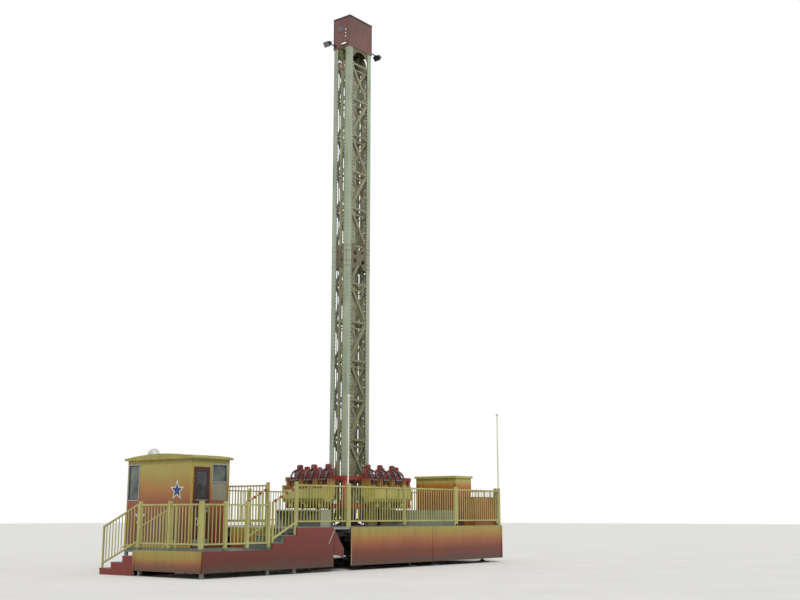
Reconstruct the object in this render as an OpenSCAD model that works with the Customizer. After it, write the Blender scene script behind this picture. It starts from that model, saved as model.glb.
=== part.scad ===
/* [Tower] */
// Height from the ground to the top of the head box
tower_h = 17800; // [16000:100:19500]
// Outside width of the mast along the platform front
mast_x = 1100; // [1060:10:1200]
// Outside depth of the mast from front to back
mast_y = 680; // [640:10:760]
// Leg width of the corner angles of the mast
column_leg = 170; // [150:5:190]
// Thickness of the corner angles
column_t = 16; // [12:1:22]
// Height of one bay of the lattice
bay_h = 1210; // [1000:10:1400]
// Width of the lattice diagonals
brace_w = 90; // [60:5:100]
// Width of the level bars of the lattice
level_w = 60; // [40:5:70]
// Width of the upright guide in the middle of each narrow side
guide_w = 90; // [70:5:110]
// Height of the middle of the folding splice in the mast
splice_z = 9600; // [8000:100:11000]
// Height of the folding splice band
splice_h = 800; // [600:50:1000]

/* [Head] */
// Height of the tie plates below the head
tie_h = 220; // [180:10:260]
// Height of the head box
head_h = 1090; // [900:10:1300]
// Overhang of the head box beyond the mast
head_over = 14; // [12:1:40]
// Sheet thickness of the head box
head_t = 8; // [5:1:10]
// Pitch radius of the hoist sheaves
sheave_r = 220; // [200:5:240]
// Distance of the outer run of a hoist cable from the face of the mast
cable_out = 90; // [85:1:100]
// Diameter of the hoist cables
cable_d = 26; // [20:1:32]
// Reach of the arms of the floodlights
lamp_arm = 330; // [280:10:400]
// Width of a floodlight
lamp_w = 220; // [180:10:260]

/* [Platform] */
// Height of the main deck above the ground
deck_z = 1130; // [1100:10:1250]
// Left edge of the main deck
deck_left = -5700; // [-6000:50:-5500]
// Right edge of the main deck
deck_right = 3700; // [3600:50:4200]
// Half of the platform depth
deck_half = 3200; // [3100:50:3500]
// Thickness of the deck plates
deck_t = 40; // [25:5:60]
// Height of the lower deck above the ground
low_z = 620; // [560:10:680]
// Left edge of the lower deck
low_left = -8820; // [-9200:20:-8700]
// Depth of a tread of the deck stair
tread_run = 430; // [380:10:460]
// Width of the deck stair
stair_w = 1000; // [900:50:1100]
// Depth of a tread of the entry stair
entry_run = 440; // [380:10:480]
// Width of the entry stair
entry_w = 1300; // [1100:50:1350]
// Gap below the skirt panels
skirt_gap = 130; // [80:10:180]
// Thickness of the skirt panels
skirt_t = 30; // [20:5:40]

/* [Fence] */
// Height of the fence top above its deck
fence_h = 1090; // [1000:10:1150]
// Distance of the fence lines in from the deck edges
fence_in = 60; // [50:5:80]
// Side of the square fence rails
rail_w = 40; // [30:5:45]
// Side of the square fence bars
bar_w = 18; // [12:1:24]
// Spacing of the fence bars
bar_pitch = 112; // [90:2:130]
// Side of a fence post
post_w = 70; // [60:5:80]
// Height of the bottom rail above the deck
rail_low = 140; // [100:10:180]
// Height of the light poles above the fence
pole_h = 2350; // [1800:50:2600]
// Height of the benches on the deck
bench_h = 470; // [400:10:520]
// Depth of the benches on the deck
bench_w = 380; // [320:10:450]
// Length of the bench in front of the cabinet
bench_long = 2450; // [2000:50:2600]
// Length of the bench on the other side of the ride
bench_short = 1800; // [1400:50:2200]
// Width of the locker from front to back
locker_w = 800; // [600:50:1000]
// Operator's cabinet from left to right
cabinet_w = 840; // [700:20:900]
// Operator's cabinet from front to back
cabinet_d = 1600; // [1300:50:1800]
// Height of the operator's cabinet
cabinet_h = 1550; // [1300:50:1700]
// Distance of the cabinet in from the front edge of the deck
cabinet_in = 1000; // [800:50:1200]
// Width of the equipment box behind the front fence
box_w = 1140; // [900:20:1200]
// Depth of the equipment box
box_d = 400; // [300:20:500]
// Height of the equipment box
box_h = 875; // [700:25:950]

/* [Base] */
// Height of the underside of the base beams
base_z = 250; // [220:10:300]
// Height of the outriggers
outrigger_h = 150; // [120:10:180]
// Height of the long base beams
beam_h = 240; // [200:10:260]
// Width of the base beams
beam_w = 200; // [160:10:240]
// Diameter of a foot plate
foot_d = 420; // [360:20:500]
// Thickness of a foot plate
foot_t = 30; // [20:5:50]

/* [Booth] */
// Width of the pay booth along the platform front
booth_x = 1300; // [1200:50:1350]
// Length of the pay booth from front to back
booth_y = 2600; // [2300:50:2800]
// Height of the wall above the booth door
header_h = 210; // [150:10:320]
// Thickness of the booth walls
wall_t = 45; // [35:5:60]
// Width of the booth door
door_w = 560; // [520:10:660]
// Height of the booth door
door_h = 2060; // [1850:10:2100]

/* [Carriage] */
// Underside of the carriage when it is down
carriage_z = 1650; // [1620:10:1700]
// Distance from the tower axis to the side seat backs
ring_x = 1580; // [1560:10:1700]
// Distance from the tower axis to the front seat backs
ring_y = 1220; // [1210:10:1400]
// Side of the carriage beams
ring_w = 120; // [80:10:140]
// Spacing of the seats in a row
seat_pitch = 580; // [560:5:600]
// Width of a seat shell
seat_w = 520; // [460:5:540]
// Depth of a seat shell
seat_d = 520; // [480:10:560]
// Radius of a guide roller
roller_r = 80; // [60:5:90]

/* [Hidden] */
$fn = 48;
fit = 0.3;
run_gap = 5;
nose = 20;
tread_t = 30;
edge_in = 40;
hem_w = 60;
hem_t = 12;
post_h = fence_h + 60;
stair_side = -deck_half + stair_w + 60;
cabinet_left = deck_right - cabinet_w - 200;
bench_left = cabinet_left - 60 - bench_w;
bench_front = -deck_half + cabinet_in - 20;
short_right = deck_left + 2600 + bench_w;
short_front = -deck_half + 1520;
mast_foot_t = 40;
beam_z = base_z + outrigger_h;
mast_foot_z = beam_z + beam_h + mast_foot_t;
head_z = tower_h - head_h;
cable_x = mast_x / 2 + cable_out;
sheave_x = cable_x - sheave_r;
sheave_gap = 45;
bearing_t = 24;
bearing_half = 80;
tie_gap = 45;
roof_t = 30;
lamp_plate = 12;
axle_r = 32;
sheave_low_z = mast_foot_z + sheave_r + 60;
sheave_high_z = head_z - sheave_r - 45;
brace_t = 50;
lattice_in = 20;
lattice_z0 = sheave_low_z + sheave_r + 90;
lattice_z1 = sheave_high_z - sheave_r - 55;
lattice_room = lattice_z1 - lattice_z0;
bays = floor(lattice_room / bay_h);
bay = lattice_room / bays;
low_right = deck_left - 2 * tread_run;
deck_rise = (deck_z - low_z) / 3;
entry_rise = low_z / 4;
booth_left = deck_left - 1400;
booth_right = booth_left + booth_x;
booth_front = -800;
booth_back = booth_front + booth_y;
booth_h = door_h + header_h;
booth_top = low_z + booth_h;
sill_z = booth_top - 1040;
side_head_z = booth_top - 130;
front_sill_z = booth_top - 570;
front_head_z = booth_top - 150;
door_x0 = booth_left + wall_t + 20;
door_x1 = door_x0 + door_w;
side_pane = [booth_back - 480, booth_back - 60];
front_pane = [door_x1 + 90, booth_right - wall_t - 60];
hinge_x = door_x0 + 18;
hinge_y = booth_front - 14;
hinge_pin = 6;
pin_half = 60;
hinge_zs = [low_z + 300, low_z + door_h - 300];
landing_back = booth_front + 30;
roof_over = 80;
roof_rise = 95;
roof_edge = 50;
roof_top = booth_top + roof_edge + roof_rise;
dome_x = booth_left + 360;
dome_y = booth_front + 2000;
frame_h = 100;
leg_w = 80;
outrigger_y = deck_half - 400;
outriggers = [deck_left + 900, -mast_x / 2, mast_x / 2, deck_right - 500];
hole_x = mast_x / 2 + 200;
hole_y = mast_y / 2 + 180;
beam_y = mast_y / 2 + 160;
deck_beam_y = beam_y + beam_w / 2 + leg_w / 2 + 20;
deck_low = deck_z - deck_t;
joist_n = 10;
joist_xs = [for (i = [0 : joist_n - 1])
    deck_left + leg_w + i * (deck_right - deck_left - 2 * leg_w) / (joist_n - 1)];
split_left = deck_left + 2040;
break_w = 650;
post_xs = [deck_left + post_w / 2, split_left, -1210, 1280, deck_right - post_w / 2];
level_gap = 820;
seat_low = carriage_z + ring_w + 60;
seat_pan = seat_low + 390;
seat_top = seat_low + 690;
roller_w = 50;
pin_r = 15;
roller_in = 110;
inner_x = mast_x / 2 + run_gap + 2 * roller_r + 15;
inner_y = mast_y / 2 + run_gap + 2 * roller_r + 15;
inner_w = 80;
ring_post = 80;
cream = "khaki";
red = "firebrick";
dark_red = "maroon";
steel = "dimgray";

// Box from its lowest corner to its highest corner
module block(lo, hi) {
    translate(lo) cube([hi[0] - lo[0], hi[1] - lo[1], hi[2] - lo[2]]);
}

// I section laid along x, centred on y, from z to z + h
module i_beam(x0, x1, y, z, w, h) {
    flange = 24;
    web = 18;
    block([x0, y - w / 2, z], [x1, y + w / 2, z + flange]);
    block([x0, y - w / 2, z + h - flange], [x1, y + w / 2, z + h]);
    block([x0, y - web / 2, z], [x1, y + web / 2, z + h]);
}

// I beams along the platform on the outriggers, and the box beams under the joists of the deck
module long_beams() {
    in_left = 300;
    in_right = 200;
    z = deck_low - 2 * frame_h;
    color(dark_red) {
        for (y = [-beam_y, beam_y])
            i_beam(deck_left + in_left, deck_right - in_right, y, beam_z, beam_w, beam_h);
        for (y = [-outrigger_y, -deck_beam_y, deck_beam_y, outrigger_y])
            block([deck_left + edge_in, y - leg_w / 2, z],
                [deck_right - edge_in, y + leg_w / 2, z + frame_h]);
    }
}

// Outriggers under the base beams, and the joists under the deck plates
module cross_beams() {
    end = outrigger_y + beam_w;
    far = deck_half - edge_in;
    color(dark_red) {
        for (x = outriggers) block([x - beam_w / 2, -end, base_z], [x + beam_w / 2, end, beam_z]);
        for (x = joist_xs) {
            if (abs(x) < hole_x + leg_w) {
                joist(x, -far, -hole_y);
                joist(x, hole_y, far);
            } else {
                joist(x, -far, far);
            }
        }
    }
}

module joist(x, y0, y1) {
    block([x - leg_w / 2, y0, deck_low - frame_h], [x + leg_w / 2, y1, deck_low]);
}

// Posts from the outriggers and base beams to the deck beams, and the legs of the lower decks
module frame_posts() {
    top = deck_low - 2 * frame_h;
    leg_in = 120;
    color(steel) {
        for (x = outriggers, y = [-outrigger_y, outrigger_y]) post(x, y, beam_z, top);
        for (x = outriggers, y = [-deck_beam_y, deck_beam_y]) post(x, y, base_z + outrigger_h, top);
        for (x = [low_left + leg_w, low_right - leg_w], y = [-deck_half + leg_w, booth_front - leg_in])
            leg(x, y);
        for (x = [booth_left + edge_in, booth_right], y = [booth_front + edge_in, booth_back - edge_in / 2])
            leg(x, y);
    }
}

module post(x, y, z0, z1) {
    block([x - leg_w / 2, y - leg_w / 2, z0], [x + leg_w / 2, y + leg_w / 2, z1]);
}

module leg(x, y) {
    sole_t = 15;
    post(x, y, 0, low_z - deck_t - frame_h);
    block([x - leg_w, y - leg_w, 0], [x + leg_w, y + leg_w, sole_t]);
}

// Screw foot with a round plate, from the ground to the beam above it
module foot(x, y, d, z) {
    socket_h = 40;
    nut_h = 60;
    screw_d = d * 0.2;
    nut_d = d * 0.32;
    translate([x, y, 0]) union() {
        cylinder(h = foot_t, d = d);
        translate([0, 0, foot_t]) cylinder(h = socket_h, d1 = d * 0.5, d2 = d * 0.3);
        cylinder(h = z, d = screw_d);
        translate([0, 0, z - nut_h]) cylinder(h = nut_h, d = nut_d);
    }
}

module jack_feet() {
    middle_d = foot_d * 1.4;
    color(steel) {
        for (x = outriggers, y = [-outrigger_y, outrigger_y]) foot(x, y, foot_d, base_z);
        foot(0, 0, middle_d, beam_z + beam_h);
    }
}

// Deck plates round the foot of the tower
module main_deck() {
    color(steel) difference() {
        block([deck_left, -deck_half, deck_z - deck_t], [deck_right, deck_half, deck_z]);
        block([-hole_x, -hole_y, deck_z - deck_t - 1], [hole_x, hole_y, deck_z + 1]);
    }
}

// Plate on joists that run from front to back
module landing(x0, x1, y0, y1) {
    pitch = 1000;
    top = low_z - deck_t;
    n = ceil((x1 - x0 - 2 * leg_w) / pitch);
    step = (x1 - x0 - 2 * leg_w) / n;
    block([x0, y0, top], [x1, y1, low_z]);
    for (i = [0 : n]) {
        x = x0 + leg_w / 2 + i * step;
        block([x, y0 + edge_in, top - frame_h], [x + leg_w, y1 - edge_in, top + 1]);
    }
}

module lower_deck() {
    top = low_z - deck_t;
    under = top - frame_h;
    x1 = deck_left - skirt_t - 10;
    y1 = booth_front - edge_in;
    bearer_x = low_right - 130;
    tail_y = booth_front - 200;
    color(steel) union() {
        landing(low_left, low_right, -deck_half, y1);
        block([low_right - 1, stair_side, top], [x1, y1, low_z]);
        block([bearer_x, stair_side, under], [x1, stair_side + leg_w, top + 1]);
        block([low_left, y1 - 1, top], [low_left + entry_w, landing_back, low_z]);
        for (x = [low_left + edge_in, low_left + entry_w - edge_in - leg_w])
            block([x, tail_y, under], [x + leg_w, landing_back, top + 1]);
    }
}

// Stair flight in the XZ plane: treads, risers and two cheeks with sawtooth tops
module flight(steps, run, rise, w, base) {
    riser_t = 12;
    cheek_t = 24;
    for (i = [0 : steps - 1]) {
        top = base + (i + 1) * rise;
        block([i * run - nose, 0, top - tread_t], [(i + 1) * run, w, top]);
    }
    for (i = [0 : steps - 1])
        block([i * run, 0, base + i * rise - (i > 0 ? tread_t : 0)],
            [i * run + riser_t, w, base + (i + 1) * rise - tread_t]);
    for (y = [0, w - cheek_t])
        translate([0, y + cheek_t, 0]) rotate([90, 0, 0]) linear_extrude(cheek_t)
            polygon(concat(
                [[steps * run, base], [0, base]],
                [for (i = [0 : steps - 1], k = [0, 1]) [(i + k) * run, base + (i + 1) * rise - tread_t]]));
}

module deck_stair() {
    color("darkseagreen") union() {
        translate([low_right, -deck_half, 0]) flight(2, tread_run, deck_rise, stair_w, low_z);
        for (y = [-deck_half, -deck_half + stair_w - leg_w])
            block([deck_left - leg_w, y, 0], [deck_left, y + leg_w, low_z + deck_rise]);
    }
}

// Entry stair that goes down from the landing towards the back
module entry_stair() {
    color("darkseagreen") translate([low_left, landing_back + 3 * entry_run, 0]) rotate([0, 0, -90])
        flight(3, entry_run, entry_rise, entry_w, 0);
}

// Upright panel with an edge frame behind it
module panel_x(x0, x1, y, z0, z1, back) {
    block([x0, min(y, y + back * skirt_t), z0], [x1, max(y, y + back * skirt_t), z1]);
}

module front_skirt() {
    left = split_left + hem_w;
    color("orange") union() {
        panel_x(left, deck_right, -deck_half - skirt_t, skirt_gap, deck_z, 1);
        for (x = [left, (split_left + deck_right) / 2, deck_right - hem_w])
            block([x, -deck_half - skirt_t - hem_t, skirt_gap], [x + hem_w, -deck_half, deck_z]);
    }
}

// Dark panel whose top follows the stair, and the short one beside the entry stair
module stair_skirt() {
    x1 = split_left - break_w;
    steps = [for (i = [0 : 1], k = [0, 1])
        [low_right + (i + k) * tread_run, low_z + (i + 1) * deck_rise - tread_t]];
    color(dark_red) translate([0, -deck_half, 0]) rotate([90, 0, 0]) linear_extrude(skirt_t) polygon(concat(
        [[x1, skirt_gap], [low_left, skirt_gap], [low_left, low_z], [low_right, low_z]],
        steps,
        [[deck_left, deck_z], [x1, deck_z]]));
}

module end_skirt() {
    x = low_left - skirt_t;
    color("orange") union() {
        block([x, -deck_half, skirt_gap], [low_left, landing_back, low_z]);
        for (y = [-deck_half, landing_back - hem_w])
            block([x - hem_t, y, skirt_gap], [low_left, y + hem_w, low_z]);
    }
}

// Back, right and inner left panels of the main deck
module rear_skirts() {
    behind_booth = 300;
    y1 = booth_front - edge_in - run_gap;
    color("orange") {
        block([deck_left, deck_half, skirt_gap], [deck_right, deck_half + skirt_t, deck_z]);
        block([deck_right, -deck_half, skirt_gap], [deck_right + skirt_t, deck_half, deck_z]);
        block([deck_left - skirt_t, booth_back + behind_booth, skirt_gap], [deck_left, deck_half, deck_z]);
        block([deck_left - skirt_t, stair_side, low_z + run_gap], [deck_left, y1, deck_z]);
    }
}

// Straight fence along x from x0 to x1 on a deck at z, with posts at the given places
module fence_x(x0, x1, z, posts) {
    top = z + fence_h;
    n = floor((x1 - x0) / bar_pitch);
    step = (x1 - x0) / n;
    for (x = posts) translate([x - post_w / 2, -post_w / 2, z]) cube([post_w, post_w, post_h]);
    block([x0, -rail_w / 2, top - rail_w], [x1, rail_w / 2, top]);
    block([x0, -rail_w / 2, z + rail_low], [x1, rail_w / 2, z + rail_low + rail_w]);
    for (i = [1 : n - 1])
        translate([x0 + i * step - bar_w / 2, -bar_w / 2, z + rail_low + rail_w / 2])
            cube([bar_w, bar_w, fence_h - rail_low - rail_w]);
}

// Outline drawn in the XZ plane, extruded to a thickness centred on y
module upright(t) {
    translate([0, t / 2, 0]) rotate([90, 0, 0]) linear_extrude(t) children();
}

// Strip of a given height between two points of an outline
module strip(a, b, h) {
    polygon([[a[0], a[1] - h / 2], [b[0], b[1] - h / 2], [b[0], b[1] + h / 2], [a[0], a[1] + h / 2]]);
}

module front_fence() {
    proud = 10;
    color(cream) translate([0, -deck_half + fence_in, 0]) union() {
        fence_x(deck_left, deck_right, deck_z, post_xs);
        for (x = [post_xs[1], post_xs[3], post_xs[4]]) {
            right = x == post_xs[4] ? post_w / 2 : post_w;
            block([x - post_w, -post_w / 2 - proud, deck_z], [x + right, 0, deck_z + post_h]);
        }
    }
}

module lower_fence() {
    end = low_right - nose - 2 * run_gap;
    third = (end - low_left - post_w) / 3;
    posts = [for (i = [0 : 3]) low_left + post_w / 2 + i * third];
    color(cream) translate([0, -deck_half + fence_in, 0]) union() fence_x(low_left, end, low_z, posts);
}

module end_fence() {
    y0 = -deck_half + fence_in + post_w / 2 + run_gap;
    y1 = booth_front - edge_in;
    posts = [y0 + post_w / 2, (y0 + y1) / 2, y1 - post_w / 2];
    color(cream) translate([low_left + fence_in, 0, 0]) rotate([0, 0, 90])
        union() fence_x(y0, y1, low_z, posts);
}

// Fences along the back, right and inner left edges
module rear_fences() {
    y_far = deck_half - fence_in - post_w - run_gap;
    color(cream) {
        translate([0, deck_half - fence_in, 0]) union()
            fence_x(deck_left, deck_right, deck_z, post_xs);
        translate([deck_right - fence_in, 0, 0]) rotate([0, 0, 90]) union()
            fence_x(-y_far, y_far, deck_z, [-y_far + post_w / 2, 0, y_far - post_w / 2]);
        translate([deck_left + fence_in, 0, 0]) rotate([0, 0, 90]) union()
            fence_x(stair_side, y_far, deck_z, [stair_side + post_w / 2, 0, y_far - post_w / 2]);
    }
}

// Height of the pitch line at x between two points
function on_line(a, b, x) = a[1] + (b[1] - a[1]) * (x - a[0]) / (b[0] - a[0]);

// Railing over a flight from point a up to point b of its pitch line, with extra level rail to x = level
module sloped_rail(a, b, level, posts) {
    n = floor((b[0] - a[0]) / bar_pitch);
    step = (b[0] - a[0]) / n;
    m = floor((level - b[0]) / bar_pitch);
    upright(rail_w) union() {
        for (h = [fence_h - rail_w / 2, rail_low + rail_w]) {
            strip([a[0], a[1] + h], [b[0], b[1] + h], rail_w);
            if (level > b[0]) strip([b[0], b[1] + h], [level, b[1] + h], rail_w);
        }
        for (q = posts) translate([q[0] - rail_w / 2, q[1]]) square([rail_w, q[2] - q[1]]);
    }
    upright(bar_w) union() {
        for (i = [1 : n - 1])
            translate([a[0] + i * step - bar_w / 2, on_line(a, b, a[0] + i * step) + rail_low + rail_w])
                square([bar_w, fence_h - rail_low - rail_w * 1.5]);
        if (m > 1) for (i = [1 : m - 1])
            translate([b[0] + i * (level - b[0]) / m - bar_w / 2, b[1] + rail_low + rail_w])
                square([bar_w, fence_h - rail_low - rail_w * 1.5]);
    }
}

// Railings on both sides of the deck stair
module stair_rails() {
    in_side = 25;
    in_top = 30;
    lift = 0.4;
    x0 = low_right + edge_in;
    x1 = deck_left - in_top;
    a = [x0, low_z + deck_rise * lift];
    b = [x1, deck_z - 2 * in_top];
    color(cream) for (y = [-deck_half + in_side, -deck_half + stair_w - in_side]) translate([0, y, 0]) union()
        sloped_rail(a, b, x1, [
            [x0, low_z + deck_rise, a[1] + fence_h], [x1, low_z + 2 * deck_rise, b[1] + fence_h]]);
}

// Railings on both sides of the entry stair, level beside the landing and sloping below it
module entry_rails() {
    in_foot = 30;
    lift = 0.6;
    foot_y = landing_back + 3 * entry_run - in_foot;
    level_y = booth_front - edge_in;
    a = [-foot_y, entry_rise * lift];
    b = [-landing_back, low_z];
    color(cream) for (x = [low_left + fence_in, low_left + entry_w - fence_in])
        translate([x, 0, 0]) rotate([0, 0, -90]) union()
            sloped_rail(a, b, -level_y, [
                [a[0], entry_rise, a[1] + fence_h],
                [b[0] + rail_w, low_z, low_z + fence_h], [-level_y - rail_w / 2, low_z, low_z + fence_h]]);
}

module light_poles() {
    flange_t = 12;
    flange_d = 64;
    pole_d = 42;
    cap_d = 90;
    color("white") for (x = [post_xs[1], post_xs[4]])
        translate([x, -deck_half + fence_in, deck_z + post_h]) union() {
            cylinder(h = flange_t, d = flange_d);
            cylinder(h = pole_h, d = pole_d);
            translate([0, 0, pole_h]) sphere(d = cap_d);
        }
}

// Foot plate with triangular gussets that the columns stand on
module mast_foot() {
    plate_over = 130;
    gusset_t = 24;
    gusset_in = 60;
    gusset_w = 110;
    gusset_tip = 20;
    gusset_h = 280;
    z = beam_z + beam_h;
    hx = mast_x / 2 + plate_over;
    hy = mast_y / 2 + plate_over;
    color(dark_red) union() {
        block([-hx, -hy, z], [hx, hy, mast_foot_z]);
        for (sx = [-1, 1], y = [-mast_y / 2 + gusset_in, mast_y / 2 - gusset_in - gusset_t])
            translate([sx * mast_x / 2, y + gusset_t, mast_foot_z]) rotate([90, 0, 0])
                linear_extrude(gusset_t)
                    polygon([[0, 0], [sx * gusset_w, 0], [sx * gusset_tip, gusset_h], [0, gusset_h]]);
        for (x = [-sheave_x, sheave_x], y = [-sheave_gap - bearing_t, sheave_gap])
            bearing(x, y, sheave_low_z, mast_foot_z - 1, sheave_low_z + bearing_half);
    }
}

// Corner angle of the mast with its heel outwards
module angle(sx, sy) {
    l = column_leg;
    t = column_t;
    pts = [[0, 0], [l, 0], [l, t], [t, t], [t, l], [0, l]];
    translate([sx * mast_x / 2, sy * mast_y / 2, mast_foot_z])
        linear_extrude(head_z - mast_foot_z)
            polygon([for (p = pts) [-sx * p[0], -sy * p[1]]]);
}

module mast_columns() {
    color(cream) for (sx = [-1, 1], sy = [-1, 1]) angle(sx, sy);
}

// Flat lattice side in the XZ plane: level bars, a zigzag of diagonals and upright rails at the given places
module lattice(half, rails) {
    reach = half - brace_w / 2;
    z0 = lattice_z0;
    upright(brace_t) union() {
        for (i = [0 : bays]) translate([-half, z0 + i * bay - level_w / 2]) square([2 * half, level_w]);
        for (i = [0 : bays - 1]) {
            s = i % 2 == 0 ? 1 : -1;
            tall = brace_w * norm([2 * reach, bay]) / (2 * reach);
            intersection() {
                strip([-s * reach, z0 + i * bay], [s * reach, z0 + (i + 1) * bay], tall);
                translate([-half, z0 + i * bay - level_w / 2]) square([2 * half, bay + level_w]);
            }
        }
        for (x = rails)
            translate([x - guide_w / 2, z0 - level_w / 2]) square([guide_w, bays * bay + level_w]);
    }
}

module lattice_wide() {
    y = mast_y / 2 - column_t - brace_t / 2;
    half = mast_x / 2 - column_t - brace_t - lattice_in;
    color(cream) for (sy = [-1, 1]) translate([0, sy * y, 0]) lattice(half, []);
}

module lattice_narrow() {
    x = mast_x / 2 - column_t - brace_t / 2;
    half = mast_y / 2 - column_t - brace_t - lattice_in;
    color(cream) for (sx = [-1, 1]) translate([sx * x, 0, 0]) rotate([0, 0, 90]) lattice(half, [0]);
}

// Flush splice plate between the column legs, with lightening holes, where the mast folds for transport
module splice_plate(w) {
    half = w / 2 - column_leg - 1;
    hole_r = half * 0.22;
    notch_r = half * 0.5;
    hole_out = splice_h * 0.17;
    translate([0, -column_t / 2, 0]) upright(column_t) difference() {
        translate([-half, splice_z - splice_h / 2]) square([2 * half, splice_h]);
        for (sx = [-1, 1], sz = [-1, 1])
            translate([sx * half / 2, splice_z + sz * hole_out]) circle(r = hole_r);
        for (sz = [-1, 1]) translate([0, splice_z + sz * splice_h / 2]) circle(r = notch_r);
    }
}

module mast_splice() {
    color(cream) {
        for (r = [0, 180]) rotate([0, 0, r]) translate([0, -mast_y / 2 + column_t, 0]) splice_plate(mast_x);
        for (r = [90, -90]) rotate([0, 0, r]) translate([0, -mast_x / 2 + column_t, 0]) {
            splice_plate(mast_y);
            tie_plate(mast_y);
        }
    }
}

// Flush tie plate with two round holes between the column legs, just below the upper sheaves
module tie_plate(w) {
    half = w / 2 - column_leg - 1;
    top = sheave_high_z - sheave_r - tie_gap;
    translate([0, -column_t / 2, 0]) upright(column_t) difference() {
        translate([-half, top - tie_h]) square([2 * half, tie_h]);
        for (x = [-half / 2, half / 2]) translate([x, top - tie_h / 2]) circle(r = tie_h / 5);
    }
}

// Sheave in the XZ plane with a grooved rim, a web, a hub and its axle
module sheave() {
    rope_r = cable_d / 2 + fit;
    rim = sheave_r + cable_d / 2 + 12;
    rim_deep = 50;
    rim_half = 28;
    web_half = 10;
    web_in = 40;
    hub_r = 70;
    hub_half = sheave_gap - 4;
    axle_half = sheave_gap + 30;
    mouth = 100;
    rotate([90, 0, 0]) union() {
        rotate_extrude() difference() {
            union() {
                translate([sheave_r - rim_deep, -rim_half]) square([rim - sheave_r + rim_deep, 2 * rim_half]);
                translate([0, -web_half]) square([sheave_r - web_in, 2 * web_half]);
                translate([0, -hub_half]) square([hub_r, 2 * hub_half]);
            }
            translate([sheave_r, 0]) circle(r = rope_r);
            translate([sheave_r, -rope_r]) square([mouth, 2 * rope_r]);
        }
        cylinder(h = 2 * axle_half, r = axle_r, center = true);
    }
}

module hoist_sheaves() {
    color(steel) for (x = [-sheave_x, sheave_x], z = [sheave_low_z, sheave_high_z])
        translate([x, 0, z]) sheave();
}

// Endless cable in the XZ plane round an upper and a lower sheave
module cable_loop() {
    for (x = [-sheave_r, sheave_r]) translate([x, 0, sheave_low_z])
        cylinder(h = sheave_high_z - sheave_low_z, d = cable_d);
    translate([0, 0, sheave_high_z]) rotate([90, 0, 0]) rotate_extrude(angle = 180)
        translate([sheave_r, 0]) circle(d = cable_d);
    translate([0, 0, sheave_low_z]) rotate([-90, 0, 0]) rotate_extrude(angle = 180)
        translate([sheave_r, 0]) circle(d = cable_d);
}

module hoist_cables() {
    color("gray") for (x = [-sheave_x, sheave_x]) translate([x, 0, 0]) union() cable_loop();
}

// Bearing plate of a sheave from z0 to z1 with a bore for the axle at the height z
module bearing(x, y, z, z0, z1) {
    difference() {
        block([x - bearing_half, y, z0], [x + bearing_half, y + bearing_t, z1]);
        translate([x, y - 1, z]) rotate([-90, 0, 0]) cylinder(h = bearing_t + 2, r = axle_r + fit);
    }
}

// Ring beam on top of the columns with the bearings of the upper sheaves below it
module head_frame() {
    ring_h = 120;
    side = 90;
    beam_in = 80;
    lap = 20;
    x = mast_x / 2;
    y = mast_y / 2;
    top = head_z + ring_h;
    color(dark_red) union() {
        difference() {
            block([-x, -y, head_z], [x, y, top]);
            block([-x + side, -y + side, head_z - 1], [x - side, y - side, top + 1]);
        }
        for (y0 = [-sheave_gap - bearing_t, sheave_gap]) {
            block([-x + beam_in, y0, head_z], [x - beam_in, y0 + bearing_t, top]);
            for (bx = [-sheave_x, sheave_x])
                bearing(bx, y0, sheave_high_z, sheave_high_z - bearing_half, head_z + lap);
        }
        for (r = [0, 180]) rotate([0, 0, r]) {
            translate([0, -y + column_t / 2, 0]) arch_plate(mast_x);
            rotate([0, 0, 90]) translate([0, -x + column_t / 2, 0]) arch_plate(mast_y);
        }
    }
}

// Plate with an arched underside between the column legs, below the ring beam
module arch_plate(side) {
    half = side / 2 - column_leg - 1;
    drop = half * 0.8;
    arch_r = half * 0.95;
    centre_z = head_z - half * 1.15;
    cut_z = head_z - half * 2;
    upright(column_t) difference() {
        translate([-half, head_z - drop]) square([2 * half, drop + 1]);
        translate([0, centre_z]) circle(r = arch_r);
        translate([-arch_r, cut_z]) square([2 * arch_r, centre_z - cut_z]);
    }
}

// Hollow sheet box round the top of the mast
module head_box() {
    x = mast_x / 2 + head_over;
    y = mast_y / 2 + head_over;
    lug_w = 60;
    lug_z = head_z + 20;
    color(red) union() {
        difference() {
            block([-x, -y, head_z], [x, y, tower_h - roof_t]);
            block([-x + head_t, -y + head_t, head_z - 1], [x - head_t, y - head_t, tower_h]);
        }
        for (sx = [-1, 1], y0 = [-mast_y / 2 + lug_w, mast_y / 2 - 2 * lug_w])
            block([min(sx * mast_x / 2, sx * x), y0, lug_z],
                [max(sx * mast_x / 2, sx * x), y0 + lug_w, lug_z + lug_w]);
    }
}

module head_roof() {
    lip = 14;
    x = mast_x / 2 + head_over + lip;
    y = mast_y / 2 + head_over + lip;
    color(dark_red) block([-x, -y, tower_h - roof_t], [x, y, tower_h]);
}

// Lamp on an arm that stands out from a corner of the head box
module floodlight() {
    tilt = 35;
    plate_w = 90;
    arm_d = 40;
    lap = 10;
    knuckle_l = 30;
    knuckle_d = 60;
    fork_deep = 90;
    fork_half = 30;
    fork_back = 12;
    inside = lamp_w / 2 + 6;
    outside = lamp_w / 2 + 14;
    translate([0, -plate_w / 2, -plate_w / 2]) cube([lamp_plate, plate_w, plate_w]);
    rotate([0, 90, 0]) cylinder(h = lamp_arm, d = arm_d);
    translate([lamp_arm - lap, 0, 0]) rotate([0, tilt, 0]) {
        translate([-2 * lap, 0, 0]) rotate([0, 90, 0]) cylinder(h = knuckle_l, d = knuckle_d);
        difference() {
            block([0, -outside, -fork_half], [fork_deep, outside, fork_half]);
            block([fork_back, -inside, -fork_half - 1], [fork_deep + fork_back, inside, fork_half + 1]);
        }
        lamp_case();
    }
}

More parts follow.
